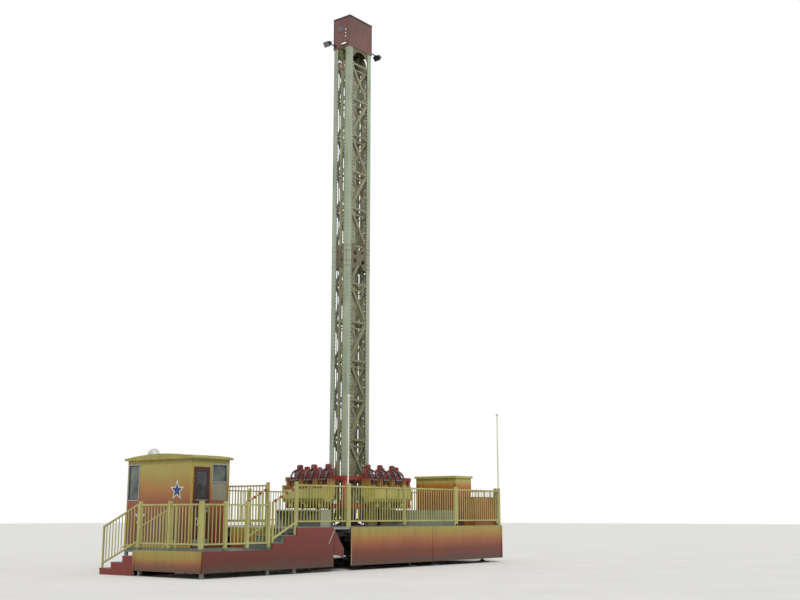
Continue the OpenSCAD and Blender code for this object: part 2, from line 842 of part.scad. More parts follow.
// Case of a floodlight that widens to the rim round its glass, with cooling fins on its back
module lamp_case() {
    back = 22;
    deep = 130;
    throat = 55;
    mouth = 80;
    rim_t = 16;
    rim_over = 10;
    fin_pitch = 20;
    fin_deep = 20;
    fin_t = 6;
    fin_root = 8;
    bolt_x = 60;
    bolt_d = 26;
    half = lamp_w / 2;
    rotate([90, 0, 0]) translate([0, 0, -half]) linear_extrude(lamp_w)
        polygon([[back, -throat], [back, throat], [deep, mouth], [deep, -mouth]]);
    block([deep - 1, -half - rim_over, -mouth - rim_over],
        [deep - 1 + rim_t, half + rim_over, mouth + rim_over]);
    for (z = [-2 * fin_pitch : fin_pitch : 2 * fin_pitch])
        translate([back - fin_root, -half + fin_deep, z - fin_t / 2])
            cube([fin_deep, lamp_w - 2 * fin_deep, fin_t]);
    rotate([90, 0, 0]) translate([bolt_x, 0, -half - rim_over])
        cylinder(h = lamp_w + 2 * rim_over, d = bolt_d);
}

module floodlights() {
    x = mast_x / 2 + head_over;
    y = mast_y / 2 - 60;
    z = head_z + 130;
    color(steel) {
        translate([-x, y, z]) rotate([0, 0, 180]) floodlight();
        translate([x, -y, z]) floodlight();
    }
}

// Posts with rubber heads on the deck that the carriage lands on
module landing_buffers() {
    beside = 60;
    flange_t = 20;
    flange_d = 180;
    post_d = 110;
    pad_h = 120;
    pad_d = 150;
    post_top = carriage_z - deck_z - pad_h;
    out_x = inner_x + inner_w / 2;
    out_y = hole_y + beside;
    color(steel) for (x = [-out_x, out_x], y = [-out_y, out_y])
        translate([x, y, deck_z]) union() {
            cylinder(h = flange_t, d = flange_d);
            cylinder(h = post_top, d = post_d);
            translate([0, 0, post_top]) cylinder(h = pad_h - fit, d = pad_d);
        }
}

// Floor of the booth on its own frame and legs
module booth_floor() {
    over = 60;
    color(steel) union()
        landing(booth_left - edge_in, booth_right + over, booth_front - edge_in, booth_back + over);
}

module booth_side_wall() {
    color("orange") difference() {
        block([booth_left, booth_front, low_z], [booth_left + wall_t, booth_back, booth_top]);
        block([booth_left - 1, side_pane[0], sill_z], [booth_left + wall_t + 1, side_pane[1], side_head_z]);
    }
}

module booth_back_wall() {
    color("orange")
        block([booth_left + wall_t, booth_back - wall_t, low_z],
            [booth_right - wall_t, booth_back, booth_top]);
}

module booth_inner_wall() {
    color("orange") block([booth_right - wall_t, booth_front, low_z], [booth_right, booth_back, booth_top]);
}

// Wall beside the booth door, with the pins of the door's hinges
module booth_jamb() {
    lug_t = 18;
    color("orange") union() {
        block([booth_left + wall_t, booth_front, low_z], [door_x0, booth_front + wall_t, booth_top]);
        for (z = hinge_zs) {
            translate([hinge_x, hinge_y, z - pin_half]) cylinder(h = 2 * pin_half, r = hinge_pin);
            for (dz = [-pin_half, pin_half - lug_t])
                block([door_x0 - 2 * hinge_pin, hinge_y - hinge_pin, z + dz],
                    [hinge_x, booth_front + 1, z + dz + lug_t]);
        }
    }
}

module booth_header() {
    color("orange") block([door_x0, booth_front, low_z + door_h], [door_x1, booth_front + wall_t, booth_top]);
}

module booth_window_wall() {
    color("orange") difference() {
        block([door_x1, booth_front, low_z], [booth_right - wall_t, booth_front + wall_t, booth_top]);
        block([front_pane[0], booth_front - 1, front_sill_z],
            [front_pane[1], booth_front + wall_t + 1, front_head_z]);
    }
}

// Panes in the middle of the booth walls
module booth_glass() {
    half = 3;
    mid = wall_t / 2;
    color("slategray") {
        block([booth_left + mid - half, side_pane[0], sill_z],
            [booth_left + mid + half, side_pane[1], side_head_z]);
        block([front_pane[0], booth_front + mid - half, front_sill_z],
            [front_pane[1], booth_front + mid + half, front_head_z]);
    }
}

// Solid below the arch of the roof, from the tops of the walls up
module roof_arch(x0, x1) {
    chord = booth_y / 2 + roof_over;
    r = (chord * chord + roof_rise * roof_rise) / (2 * roof_rise);
    translate([x0, booth_front + booth_y / 2, roof_top - r])
        rotate([0, 90, 0]) cylinder(h = x1 - x0, r = r, $fn = 1000);
}

// Arched roof that overhangs the walls
module booth_roof() {
    short = 10;
    color("gold") intersection() {
        block([booth_left - roof_over, booth_front - roof_over, booth_top],
            [booth_right + roof_over - short, booth_back + roof_over, roof_top]);
        roof_arch(booth_left - roof_over - 1, booth_right + roof_over);
    }
}

// Round lamp whose collar is cut to sit on the arched roof
module booth_dome() {
    r = 165;
    lift = 10;
    collar = r + 15;
    collar_h = 25;
    seat_h = 40;
    color("white") translate([dome_x, dome_y, roof_top + lift]) union() {
        cylinder(h = collar_h, r = collar);
        translate([0, 0, collar_h]) intersection() {
            sphere(r = r);
            cylinder(h = r + 1, r = r + 1);
        }
        translate([0, 0, -seat_h]) dome_seat(collar, seat_h, roof_top + lift - seat_h);
    }
}

// Collar under the round lamp, cut to the arch
module dome_seat(r, h, z) {
    difference() {
        cylinder(h = h + 1, r = r);
        translate([-dome_x, -dome_y, fit - z]) roof_arch(booth_left, booth_right);
    }
}

// Door leaf with a glazed upper part and the barrels of its hinges
module booth_door() {
    leaf_t = 38;
    gap = 8;
    stile = 90;
    pane_z = low_z + 1250;
    pane_top = low_z + door_h - 110;
    recess = 12;
    barrel_r = 12;
    barrel_h = 72;
    bore_h = 80;
    strap = 50;
    strap_half = 4;
    x0 = door_x0 + run_gap;
    x1 = door_x1 - run_gap;
    y0 = booth_front + 2;
    color(dark_red) difference() {
        union() {
            difference() {
                block([x0, y0, low_z + gap], [x1, y0 + leaf_t, low_z + door_h - gap]);
                block([x0 + stile, y0 - 1, pane_z], [x1 - stile, y0 + recess, pane_top]);
            }
            for (z = hinge_zs) {
                translate([hinge_x, hinge_y, z - barrel_h / 2]) cylinder(h = barrel_h, r = barrel_r);
                block([hinge_x, hinge_y - strap_half, z - barrel_h / 2],
                    [hinge_x + strap, y0 + 1, z + barrel_h / 2]);
            }
            translate([x1, y0, low_z]) door_handle();
        }
        for (z = hinge_zs)
            translate([hinge_x, hinge_y, z - bore_h / 2]) cylinder(h = bore_h, r = hinge_pin + fit);
    }
}

// Lever on a stub, from the closing edge of the leaf
module door_handle() {
    height = 1000;
    stub_in = 60;
    stub_l = 45;
    stub_r = 12;
    lever_in = 120;
    lever_out = 50;
    lever = [84, 20, 24];
    translate([-stub_in, -stub_l, height]) rotate([-90, 0, 0]) cylinder(h = stub_l + 1, r = stub_r);
    translate([-lever_in, -lever_out, height - stub_r]) cube(lever);
}

// Operator's cabinet at the right end of the deck, with recessed doors towards the ride
module control_cabinet() {
    lid = 70;
    lip = 40;
    edge = 40;
    kick = 60;
    recess = 12;
    leaf = (cabinet_d - 3 * edge) / 2;
    body_h = cabinet_h - lid;
    color("orange") translate([cabinet_left, -deck_half + cabinet_in, deck_z]) difference() {
        union() {
            cube([cabinet_w, cabinet_d, body_h]);
            translate([-lip, -lip, body_h]) cube([cabinet_w + 2 * lip, cabinet_d + 2 * lip, lid]);
        }
        for (y = [edge, 2 * edge + leaf])
            translate([-1, y, kick]) cube([recess + 1, leaf, body_h - 2 * kick]);
    }
}

// Bench of folded sheet, open below, that runs from front to back
module bench(length) {
    sheet = 40;
    difference() {
        cube([bench_w, length, bench_h]);
        translate([sheet, sheet, -1]) cube([bench_w, length - 2 * sheet, bench_h - sheet + 1]);
    }
}

module benches() {
    color("lightgray") {
        translate([bench_left, bench_front, deck_z]) bench(bench_long);
        translate([short_right, short_front, deck_z]) mirror([1, 0, 0]) bench(bench_short);
    }
}

module deck_locker() {
    lid = 20;
    taller = 30;
    wide = bench_w + 40;
    locker_h = bench_h + taller;
    color("gold") translate([bench_left, bench_front + bench_long + taller, deck_z]) union() {
        cube([wide, locker_w, locker_h]);
        translate([-lid / 2, -lid / 2, locker_h]) cube([wide + lid, locker_w + lid, lid]);
    }
}

module equipment_box() {
    lid = 25;
    lip = 15;
    in_right = 120;
    in_front = 130;
    color("orange") translate([deck_right - box_w - in_right, -deck_half + in_front, deck_z]) union() {
        cube([box_w, box_d, box_h - lid]);
        translate([-lip, -lip, box_h - lid]) cube([box_w + 2 * lip, box_d + 2 * lip, lid]);
    }
}

// Outer ring and the four inner beams of one level of the carriage
module ring_beams(z) {
    x = ring_x;
    y = ring_y;
    for (sy = [-1, 1]) {
        block([-x, min(sy * y, sy * (y - ring_w)), z], [x, max(sy * y, sy * (y - ring_w)), z + ring_w]);
        block([-x + ring_w, min(sy * inner_y, sy * (inner_y + inner_w)), z],
            [x - ring_w, max(sy * inner_y, sy * (inner_y + inner_w)), z + ring_w]);
    }
    for (sx = [-1, 1]) {
        block([min(sx * x, sx * (x - ring_w)), -y, z], [max(sx * x, sx * (x - ring_w)), y, z + ring_w]);
        block([min(sx * inner_x, sx * (inner_x + inner_w)), -y + ring_w, z],
            [max(sx * inner_x, sx * (inner_x + inner_w)), y - ring_w, z + ring_w]);
    }
}

// Pair of cheeks that hold a guide roller, reaching along -y from the beam at y = reach
module roller_cheeks(reach, axis_y) {
    cheek_t = 16;
    clear = 4;
    nose_r = 34;
    cheek_h = 80;
    difference() {
        for (x = [-roller_w / 2 - clear - cheek_t, roller_w / 2 + clear])
            translate([x, axis_y - nose_r, -cheek_h / 2]) cube([cheek_t, reach - axis_y + nose_r, cheek_h]);
        translate([-roller_w, axis_y, 0]) rotate([0, 90, 0]) cylinder(h = 2 * roller_w, r = pin_r + fit);
    }
}

// Places a child at each guide roller of one level, with the mast face along +y
module at_rollers(z) {
    for (sx = [-1, 1], r = [0, 180]) {
        rotate([0, 0, r]) translate([sx * (mast_x / 2 - roller_in), 0, z]) children(0);
        rotate([0, 0, r + 90]) translate([sx * (mast_y / 2 - roller_in), 0, z]) children(1);
    }
}

module ring_with_cheeks(z) {
    ring_beams(z);
    at_rollers(z + ring_w / 2) {
        roller_cheeks(inner_y + 1, mast_y / 2 + run_gap + roller_r);
        roller_cheeks(inner_x + 1, mast_x / 2 + run_gap + roller_r);
    }
}

// Lug that takes a hoist cable into the carriage
module cable_lug(sx) {
    half = 45;
    near = sx * (cable_x - half);
    root = sx * (inner_x + 1);
    difference() {
        block([min(near, root), -half, carriage_z], [max(near, root), half, carriage_z + ring_w]);
        translate([sx * cable_x, 0, carriage_z - 1]) cylinder(h = ring_w + 2, d = cable_d + 2 * run_gap);
    }
}

module carriage_ring_low() {
    color(red) union() {
        ring_with_cheeks(carriage_z);
        for (sx = [-1, 1]) cable_lug(sx);
    }
}

// Square posts between the two rings, at the outer corners and where the inner beams cross
module carriage_posts() {
    z0 = carriage_z + ring_w;
    h = level_gap - ring_w;
    inset = (ring_w - ring_post) / 2;
    color(red) {
        for (x = [-ring_x + inset, ring_x - inset - ring_post],
            y = [-ring_y + inset, ring_y - inset - ring_post])
            translate([x, y, z0]) cube([ring_post, ring_post, h]);
        for (x = [-inner_x - inner_w, inner_x], y = [-inner_y - inner_w, inner_y])
            translate([x, y, z0]) cube([inner_w, inner_w, h]);
    }
}

module carriage_ring_high() {
    color(red) union() ring_with_cheeks(carriage_z + level_gap);
}

module guide_rollers() {
    color("black") for (z = [carriage_z + ring_w / 2, carriage_z + level_gap + ring_w / 2]) at_rollers(z) {
        translate([0, mast_y / 2 + run_gap + roller_r, 0]) roller();
        translate([0, mast_x / 2 + run_gap + roller_r, 0]) roller();
    }
}

module roller() {
    pin_over = 22;
    rotate([0, 90, 0]) union() {
        cylinder(h = roller_w, r = roller_r, center = true);
        cylinder(h = roller_w + 2 * pin_over, r = pin_r, center = true);
    }
}

// Side outline of a seat shell: x is the distance out from its back
module seat_outline() {
    r = 330;
    arm_deep = 190;
    arm_z = seat_pan + 110;
    toe = 60;
    toe_lean = 30;
    toe_cut = [400, 420];
    difference() {
        union() {
            translate([0, seat_low + r]) square([seat_d, seat_top - seat_low - r]);
            translate([r, seat_low]) square([seat_d - r, r + 1]);
            intersection() {
                translate([r, seat_low + r]) circle(r = r);
                translate([0, seat_low]) square([r + 1, r + 1]);
            }
        }
        translate([seat_d - arm_deep, arm_z]) square([seat_d, seat_top]);
        translate([seat_d - toe, seat_low]) rotate(-toe_lean) translate([0, -toe_cut[0] / 2]) square(toe_cut);
    }
}

// Bucket seat that faces -y, with its back at y = 0, and the arm below it
module bucket_seat() {
    cheek = 30;
    back = 60;
    rotate([0, 0, -90]) difference() {
        translate([0, seat_w / 2, 0]) rotate([90, 0, 0]) linear_extrude(seat_w) seat_outline();
        translate([back, -seat_w / 2 + cheek, seat_pan]) cube([seat_d, seat_w - 2 * cheek, seat_top]);
    }
}

// Upright plate centred on x, with its top corners rounded
module rounded_top(w, h, r) {
    translate([-w / 2, 0]) square([w, h - r]);
    translate([-w / 2 + r, 0]) square([w - 2 * r, h]);
    for (x = [-w / 2 + r, w / 2 - r]) translate([x, h - r]) circle(r = r);
}

// Row of three bucket seats on a shared back panel, facing -y with the panel's back at y = 0
module seat_row() {
    panel_t = 30;
    crest_t = 50;
    crest = [seat_w - 80, 300, 90];
    rest = [220, 430, 60];
    arm_half = 40;
    arm_in = 100;
    arm_z = carriage_z + 30;
    arm_lap = 10;
    half = seat_pitch + seat_w / 2;
    block([-half, -panel_t, seat_pan], [half, 0, seat_top]);
    for (i = [-1, 0, 1]) translate([i * seat_pitch, 0, 0]) {
        bucket_seat();
        translate([0, 0, seat_top - 1]) rotate([90, 0, 0]) linear_extrude(crest_t) union() {
            rounded_top(crest[0], crest[1], crest[2]);
            rounded_top(rest[0], rest[1], rest[2]);
        }
        block([-arm_half, -seat_d + arm_in, arm_z], [arm_half, 0, seat_low + arm_lap]);
    }
}

module seats_front() {
    color("gold") translate([0, -ring_y, 0]) union() seat_row();
}

module seats_back() {
    color("gold") rotate([0, 0, 180]) translate([0, -ring_y, 0]) union() seat_row();
}

module seats_left() {
    color("gold") rotate([0, 0, -90]) translate([0, -ring_x, 0]) union() seat_row();
}

module seats_right() {
    color("gold") rotate([0, 0, 90]) translate([0, -ring_x, 0]) union() seat_row();
}

// Shoulder arms of one seat that faces -y, bent forward and down from the back panel
module restraint() {
    outer = 260;
    arm_t = 55;
    arm_w = 50;
    arm_x = 150;
    drop = 80;
    start = 50;
    rise = 280;
    chest_out = 25;
    chest_in = 45;
    chest_low = 30;
    chest_high = 50;
    z = seat_top + rise - outer;
    for (x = [-arm_x, arm_x - arm_w])
        translate([x, -start, z]) rotate([90, 0, 90]) linear_extrude(arm_w) union() {
            difference() {
                circle(r = outer);
                circle(r = outer - arm_t);
                translate([0, -outer - 1]) square(2 * outer + 2);
                translate([-outer - 1, -outer - 1]) square([2 * outer + 2, outer + 1]);
            }
            translate([-outer, -drop]) square([arm_t, drop + 1]);
        }
    block([-arm_x, -start - outer - chest_out, z - drop - chest_low],
        [arm_x, -start - outer + chest_in, z - drop + chest_high]);
}

module restraints() {
    color("orangered") for (i = [-1, 0, 1]) {
        for (r = [0, 180]) rotate([0, 0, r]) translate([i * seat_pitch, -ring_y, 0]) union() restraint();
        for (r = [90, -90]) rotate([0, 0, r]) translate([i * seat_pitch, -ring_x, 0]) union() restraint();
    }
}

jack_feet();
cross_beams();
long_beams();
frame_posts();
main_deck();
lower_deck();
deck_stair();
entry_stair();
front_skirt();
stair_skirt();
end_skirt();
rear_skirts();
front_fence();
lower_fence();
end_fence();
stair_rails();
entry_rails();
rear_fences();
light_poles();
mast_foot();
mast_columns();
lattice_wide();
lattice_narrow();
mast_splice();
head_frame();
head_box();
head_roof();
floodlights();
hoist_sheaves();
hoist_cables();
landing_buffers();
booth_floor();
booth_side_wall();
booth_back_wall();
booth_inner_wall();
booth_jamb();
booth_header();
booth_window_wall();
booth_glass();
booth_roof();
booth_dome();
booth_door();
control_cabinet();
benches();
deck_locker();
equipment_box();
carriage_ring_low();
carriage_posts();
carriage_ring_high();
guide_rollers();
seats_front();
seats_back();
seats_left();
seats_right();
restraints();
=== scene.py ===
"""Drop tower ride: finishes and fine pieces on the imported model, in metres, from the ground up."""
import math

import bmesh
import bpy
from mathutils import Matrix, Vector


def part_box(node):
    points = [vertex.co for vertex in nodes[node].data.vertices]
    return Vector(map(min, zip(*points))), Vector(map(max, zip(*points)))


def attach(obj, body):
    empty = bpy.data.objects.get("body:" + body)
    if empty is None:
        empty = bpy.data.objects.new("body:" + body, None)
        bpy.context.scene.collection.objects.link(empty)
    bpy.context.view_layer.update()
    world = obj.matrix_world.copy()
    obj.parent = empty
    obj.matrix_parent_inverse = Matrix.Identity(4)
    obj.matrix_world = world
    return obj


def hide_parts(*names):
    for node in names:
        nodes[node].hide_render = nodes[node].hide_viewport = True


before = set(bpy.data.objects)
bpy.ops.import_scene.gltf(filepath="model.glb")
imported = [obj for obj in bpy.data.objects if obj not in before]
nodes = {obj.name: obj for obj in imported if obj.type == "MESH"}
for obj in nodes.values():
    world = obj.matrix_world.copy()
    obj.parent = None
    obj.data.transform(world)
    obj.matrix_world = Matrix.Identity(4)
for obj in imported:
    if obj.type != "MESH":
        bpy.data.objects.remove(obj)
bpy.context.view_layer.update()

# Viewpoint. A short zoom lens at eye height off the front left corner, tilted up a little, so that the
# whole mast shows.
def put(name, data):
    """Puts an object with the given mesh, lens or lamp data into the scene."""
    thing = bpy.data.objects.new(name, data)
    bpy.context.scene.collection.objects.link(thing)
    return thing


viewpoint = put("viewpoint", bpy.data.cameras.new("viewpoint"))
viewpoint.data.sensor_width = 36
viewpoint.data.lens = 49.5
viewpoint.data.clip_end = 400
viewpoint.location = (-26.3, -22.8, 1.45)
look_up = math.radians(11.06)
look = Vector((0.785 * math.cos(look_up), 0.62 * math.cos(look_up), math.sin(look_up)))
viewpoint.rotation_euler = look.to_track_quat("-Z", "Y").to_euler()
bpy.context.scene.camera = viewpoint
bpy.context.scene.view_settings.view_transform = "Standard"


# Studio. Pale seamless floor and a white surround; one broad soft sun from the front left and the even
# light of the surround.
class Wire:
    """An output socket in a node tree; arithmetic on it adds Math nodes."""

    def __init__(self, net, socket):
        self.net = net
        self.socket = socket

    def math(self, operation, a, b=0.0):
        return self.net.node("ShaderNodeMath", {"operation": operation}, a, b)

    def __add__(self, other):
        return self.math("ADD", self, other)

    def __sub__(self, other):
        return self.math("SUBTRACT", self, other)

    def __rsub__(self, other):
        return self.math("SUBTRACT", other, self)

    def __mul__(self, other):
        return self.math("MULTIPLY", self, other)

    def __floordiv__(self, other):
        return self.math("FLOOR", self.math("DIVIDE", self, other))

    def __mod__(self, other):
        return self.math("FLOORED_MODULO", self, other)

    def __gt__(self, other):
        return self.math("GREATER_THAN", self, other)

    def __lt__(self, other):
        return self.math("LESS_THAN", self, other)

    def __abs__(self):
        return self.math("ABSOLUTE", self)

    def most(self, other):
        return self.math("MAXIMUM", self, other)

    __radd__ = __add__
    __rmul__ = __mul__


class Net:
    """A node tree and the one method that adds to it."""

    def __init__(self, tree):
        self.tree = tree

    def node(self, kind, settings=None, *values, out=0, **named):
        made = self.tree.nodes.new(kind)
        for key, value in (settings or {}).items():
            if key == "stops":
                ramp = made.color_ramp.elements
                while len(ramp) < len(value):
                    ramp.new(1)
                for element, (place, colour) in zip(ramp, value):
                    element.position = place
                    element.color = rgb(colour)
            else:
                setattr(made, key, value)
        for key, value in [*enumerate(values), *named.items()]:
            if isinstance(value, Wire):
                self.tree.links.new(value.socket, made.inputs[key])
            elif value is not None:
                made.inputs[key].default_value = value
        return Wire(self, made.outputs[out])


class Finish(Net):
    """One surface finish: a Principled shader, its constants, and patterns that read Object coordinates."""

    def __init__(self, name, colour, **constants):
        self.material = bpy.data.materials.new(name)
        self.material.use_nodes = True
        super().__init__(self.material.node_tree)
        self.shader = self.tree.nodes["Principled BSDF"]
        self.shader.inputs["Base Color"].default_value = rgb(colour)
        for key, value in constants.items():
            self.shader.inputs[key.replace("_", " ")].default_value = value
        self.place = self.node("ShaderNodeTexCoord", out="Object")

    def axis(self, name):
        return self.node("ShaderNodeSeparateXYZ", None, self.place, out=name)

    def facing(self, name):
        normal = self.node("ShaderNodeNewGeometry", out="Normal")
        return self.node("ShaderNodeSeparateXYZ", None, normal, out=name)

    def noise(self, scale, detail=3.0, stretch=(1, 1, 1)):
        place = self.node("ShaderNodeMapping", None, self.place, Scale=stretch)
        return self.node("ShaderNodeTexNoise", None, Vector=place, Scale=scale, Detail=detail)

    def ramp(self, factor, low, high):
        return self.node("ShaderNodeMapRange", None, factor, low, high)

    def streaks(self, scale, squeeze, low=0.5, high=0.8):
        """Mask of what has run down the surface."""
        return self.ramp(self.noise(scale, 5, stretch=(1, 1, squeeze)), low, high)

    def mix(self, factor, *tones):
        """Mixes two tones, each a socket or a six-digit screen colour."""
        a, b = (rgb(tone) if isinstance(tone, str) else tone for tone in tones)
        return self.node("ShaderNodeMix", {"data_type": "RGBA"}, factor, *[None] * 5, a, b, out=2)

    def feed(self, **sockets):
        for key, value in sockets.items():
            self.tree.links.new(value.socket, self.shader.inputs[key.replace("_", " ")])
        return self

    def bump(self, height, distance):
        return self.feed(Normal=self.node("ShaderNodeBump", None, Height=height, Distance=distance))


def rgb(text):
    """Linear colour of a six-digit screen colour."""
    parts = [int(text[i : i + 2], 16) / 255 for i in (0, 2, 4)]
    return (*[((c + 0.055) / 1.055) ** 2.4 if c > 0.04045 else c / 12.92 for c in parts], 1)


def mottled(name, colour, tones, scale, low, high, detail=4, grain=None, **constants):
    """A finish in soft patches of two tones, with a fine grain where its scale and depth are given."""
    finish = Finish(name, colour, **constants)
    finish.patches = finish.ramp(finish.noise(scale, detail), low, high)
    if grain:
        finish.bump(finish.noise(grain[0]), grain[1])
    return finish.feed(Base_Color=finish.mix(finish.patches, *tones))


floor_finish = mottled("studio_floor", "d9d8d4", ("d6d5d1", "dcdbd7"), 0.4, 0.3, 0.7, detail=3, Roughness=0.9)
floor_mesh = bpy.data.meshes.new("studio_floor")
half = 150
floor_mesh.from_pydata([(-half, -half, 0), (half, -half, 0), (half, half, 0), (-half, half, 0)], [],
                       [(0, 1, 2, 3)])
floor_mesh.materials.append(floor_finish.material)
put("studio_floor", floor_mesh)

surround = bpy.data.worlds.new("surround")
surround.use_nodes = True
bpy.context.scene.world = surround
air = Net(surround.node_tree)
ray = air.tree.nodes.new("ShaderNodeLightPath")
camera_ray, glossy_ray, glass_ray = (
    Wire(air, ray.outputs[kind]) for kind in ("Is Camera Ray", "Is Glossy Ray", "Is Transmission Ray"))
seen = camera_ray.most(glossy_ray).most(glass_ray)
backdrop = air.tree.nodes["Background"]
backdrop.inputs["Color"].default_value = (1, 1, 1, 1)
even_light = 0.62
air.tree.links.new((even_light + seen * (1 - even_light)).socket, backdrop.inputs["Strength"])

sun = put("soft_sun", bpy.data.lights.new("soft_sun", "SUN"))
sun.data.energy = 1.9
sun.data.angle = math.radians(14)
sun.rotation_euler = Vector((0.55, 0.62, -0.75)).to_track_quat("-Z", "Y").to_euler()


# Levelling feet and the beams they carry. Hot-dip galvanised I beams and box sections of the folding base,
# bolted together; each foot is a plate on a screw jack. The zinc has dulled and streaked.
def coat(finish, *names):
    """Gives CAD nodes their finish."""
    for name in names:
        for place in nodes[name].material_slots:
            place.material = finish.material
    return finish


zinc = Finish("base_zinc", "8e918c", Metallic=0.55)
cells = zinc.node("ShaderNodeTexVoronoi", None, Vector=zinc.place, Scale=55.0, out="Color")
spangle = zinc.node("ShaderNodeSeparateColor", None, cells)
clouds = zinc.ramp(zinc.noise(2.2, 4), 0.3, 0.7)
runs = zinc.streaks(10, 0.1) * 0.5
tone = zinc.mix(clouds * 0.7 + spangle * 0.3, "8e918c", "6c706d")
zinc.feed(Base_Color=zinc.mix(runs, tone, "3d3a34"), Roughness=spangle * 0.14 + runs * 0.4 + 0.42)
zinc.bump(zinc.noise(90) + spangle * 0.2, 0.001)
coat(zinc, "jack_feet", "cross_beams", "long_beams", "frame_posts", "mast_foot")


# Decks, treads and the booth's floor. Panels of tread-pattern steel plate on the frames, painted grey-green
# and worn bright on the walkways; folded edges cover the frame.
def painted_steel(name, colour, shade, dirt=0.3, chips=0.5, **constants):
    """Paint that has broad tone changes, dirt that ran down it and small chips to the primer."""
    paint = Finish(name, colour, Specular_IOR_Level=0.4, **constants)
    broad = paint.ramp(paint.noise(0.9, 4), 0.32, 0.68)
    runs = paint.streaks(9, 0.09, 0.52, 0.78) * dirt
    paint.specks = paint.ramp(paint.noise(38, 4), 0.69, 0.72) * chips
    tone = paint.mix(runs, paint.mix(broad, colour, shade), "4a463c")
    paint.base = paint.mix(paint.specks, tone, "7a6350")
    paint.feed(Base_Color=paint.base, Roughness=runs * 0.35 + paint.specks * 0.3 + broad * 0.12 + 0.34)
    return paint.bump(paint.noise(140, 2) * 0.25 - paint.specks, 0.0015)


deck_paint = painted_steel("deck_paint", "6d766b", "596258", dirt=0.25, chips=0.3, Metallic=0.15)
x, y = deck_paint.axis("X"), deck_paint.axis("Y")
bar_cell, bar_slim = 0.03, 3.4
lean, cross = (x + y) % bar_cell - bar_cell / 2, (x - y) % bar_cell - bar_cell / 2
turn = ((x + y) // bar_cell + (x - y) // bar_cell) % 2.0
one, other = abs(lean * bar_slim) + abs(cross), abs(lean) + abs(cross * bar_slim)
bars = ((turn * one + (1 - turn) * other) < bar_cell * 0.46) * (deck_paint.facing("Z") > 0.7)
walked = deck_paint.ramp(deck_paint.noise(1.6, 4), 0.45, 0.62) * bars
deck_paint.feed(Base_Color=deck_paint.mix(walked, deck_paint.base, "9c9c96"))
deck_paint.bump(bars + deck_paint.noise(120, 2) * 0.15, 0.002)
coat(deck_paint, "main_deck", "lower_deck", "deck_stair", "booth_floor")


# Skirts. Painted sheets in steel edges that hang from the decks and hide the frame. The front and end ones
# are sprayed from yellow at the top through orange to dark red; the sheet by the stair is dark red.
def sprayed(name, stops, low, high, dirt=0.35):
    """Paint sprayed in a fade by height, between low and high, with splashed dirt along its foot."""
    panel = painted_steel(name, stops[0][1], stops[-1][1], dirt=dirt, chips=0.6)
    z = panel.axis("Z")
    height = panel.ramp(z + panel.noise(1.1) * 0.16 - 0.08, low, high)
    spray = panel.node("ShaderNodeValToRGB", {"stops": stops}, height)
    splash = panel.ramp(panel.noise(3, 5) * 0.34 - z, -0.2, 0.06)
    grimy = panel.mix(panel.streaks(11, 0.12) * dirt, spray, "4a3a2c")
    return panel.feed(Base_Color=panel.mix(panel.specks, panel.mix(splash * 0.7, grimy, "4b4336"), "6e4a35"))


front_stops = [(0.0, "562b22"), (0.35, "6d3628"), (0.62, "925833"), (0.82, "997a3c"), (1.0, "948a44")]
coat(sprayed("front_fade", front_stops, 0.15, 1.1), "front_skirt", "rear_skirts")
end_stops = [(0.0, "623024"), (0.4, "8a5431"), (0.7, "957b3b"), (1.0, "928843")]
coat(sprayed("end_fade", end_stops, 0.12, 0.6), "end_skirt")
dark_fade = sprayed("dark_fade", [(0.0, "52241d"), (0.5, "652a21"), (1.0, "712f25")], 0.1, 1.1)
coat(dark_fade, "stair_skirt")
stair_sides = painted_steel("stair_sides", "6d766b", "596258", dirt=0.35, chips=0.4)
cheek = (abs(stair_sides.facing("X")) > 0.8) * stair_sides.ramp(stair_sides.axis("Z") * -1, -0.6, -0.58)
stair_sides.feed(Base_Color=stair_sides.mix(cheek, stair_sides.base, "70281c"))
coat(stair_sides, "entry_stair")

# Fences, stair rails and light poles. Welded square tube, powder-coated cream yellow; the bars stand
# between a top rail and a low rail, and the posts drop into sockets on the deck's edge.
cream_tube = painted_steel("cream_tube", "aca868", "989358", chips=0.4)
coat(cream_tube, "front_fence", "lower_fence", "end_fence", "stair_rails", "entry_rails", "rear_fences")
coat(painted_steel("pole_paint", "d9d7c6", "c3c1ae", dirt=0.25, chips=0.2), "light_poles")

# Mast. Four folded angle columns with flat welded lattice sides between them and bolted splice plates at
# the transport fold, painted a weathered pale green cream; the lattice's darker olive adds painted shade.
mast_paint = coat(painted_steel("mast_paint", "a1ab95", "8b9680", dirt=0.45), "mast_columns")
# Darker olive than the columns: partly the paint's own weathered tone, partly painted shade of lattice sides
# in shadow.
lattice_paint = painted_steel("lattice_paint", "8f8f72", "78775c", dirt=0.5, chips=0.8)
coat(lattice_paint, "lattice_wide", "lattice_narrow")
splice_stops = [(0.0, "625f4a"), (0.2, "6b5f49"), (0.6, "857354"), (1.0, "857354")]
coat(sprayed("splice_fade", splice_stops, 9.0, 16.0, dirt=0.5), "mast_splice")

# Head. A sheet-metal box round the top sheaves, dark red with navy edge trims, on a frame of beams and
# bearing cheeks, with two black iron floodlights on arms.
coat(painted_steel("head_red", "7a504b", "65443f", dirt=0.45, chips=0.4), "head_box", "head_roof")
coat(painted_steel("head_steel", "6f6d4b", "55533a", dirt=0.5, chips=0.6), "head_frame")
black_iron = coat(painted_steel("black_iron", "26282a", "1c1d1f", dirt=0.2, chips=0.3), "floodlights")

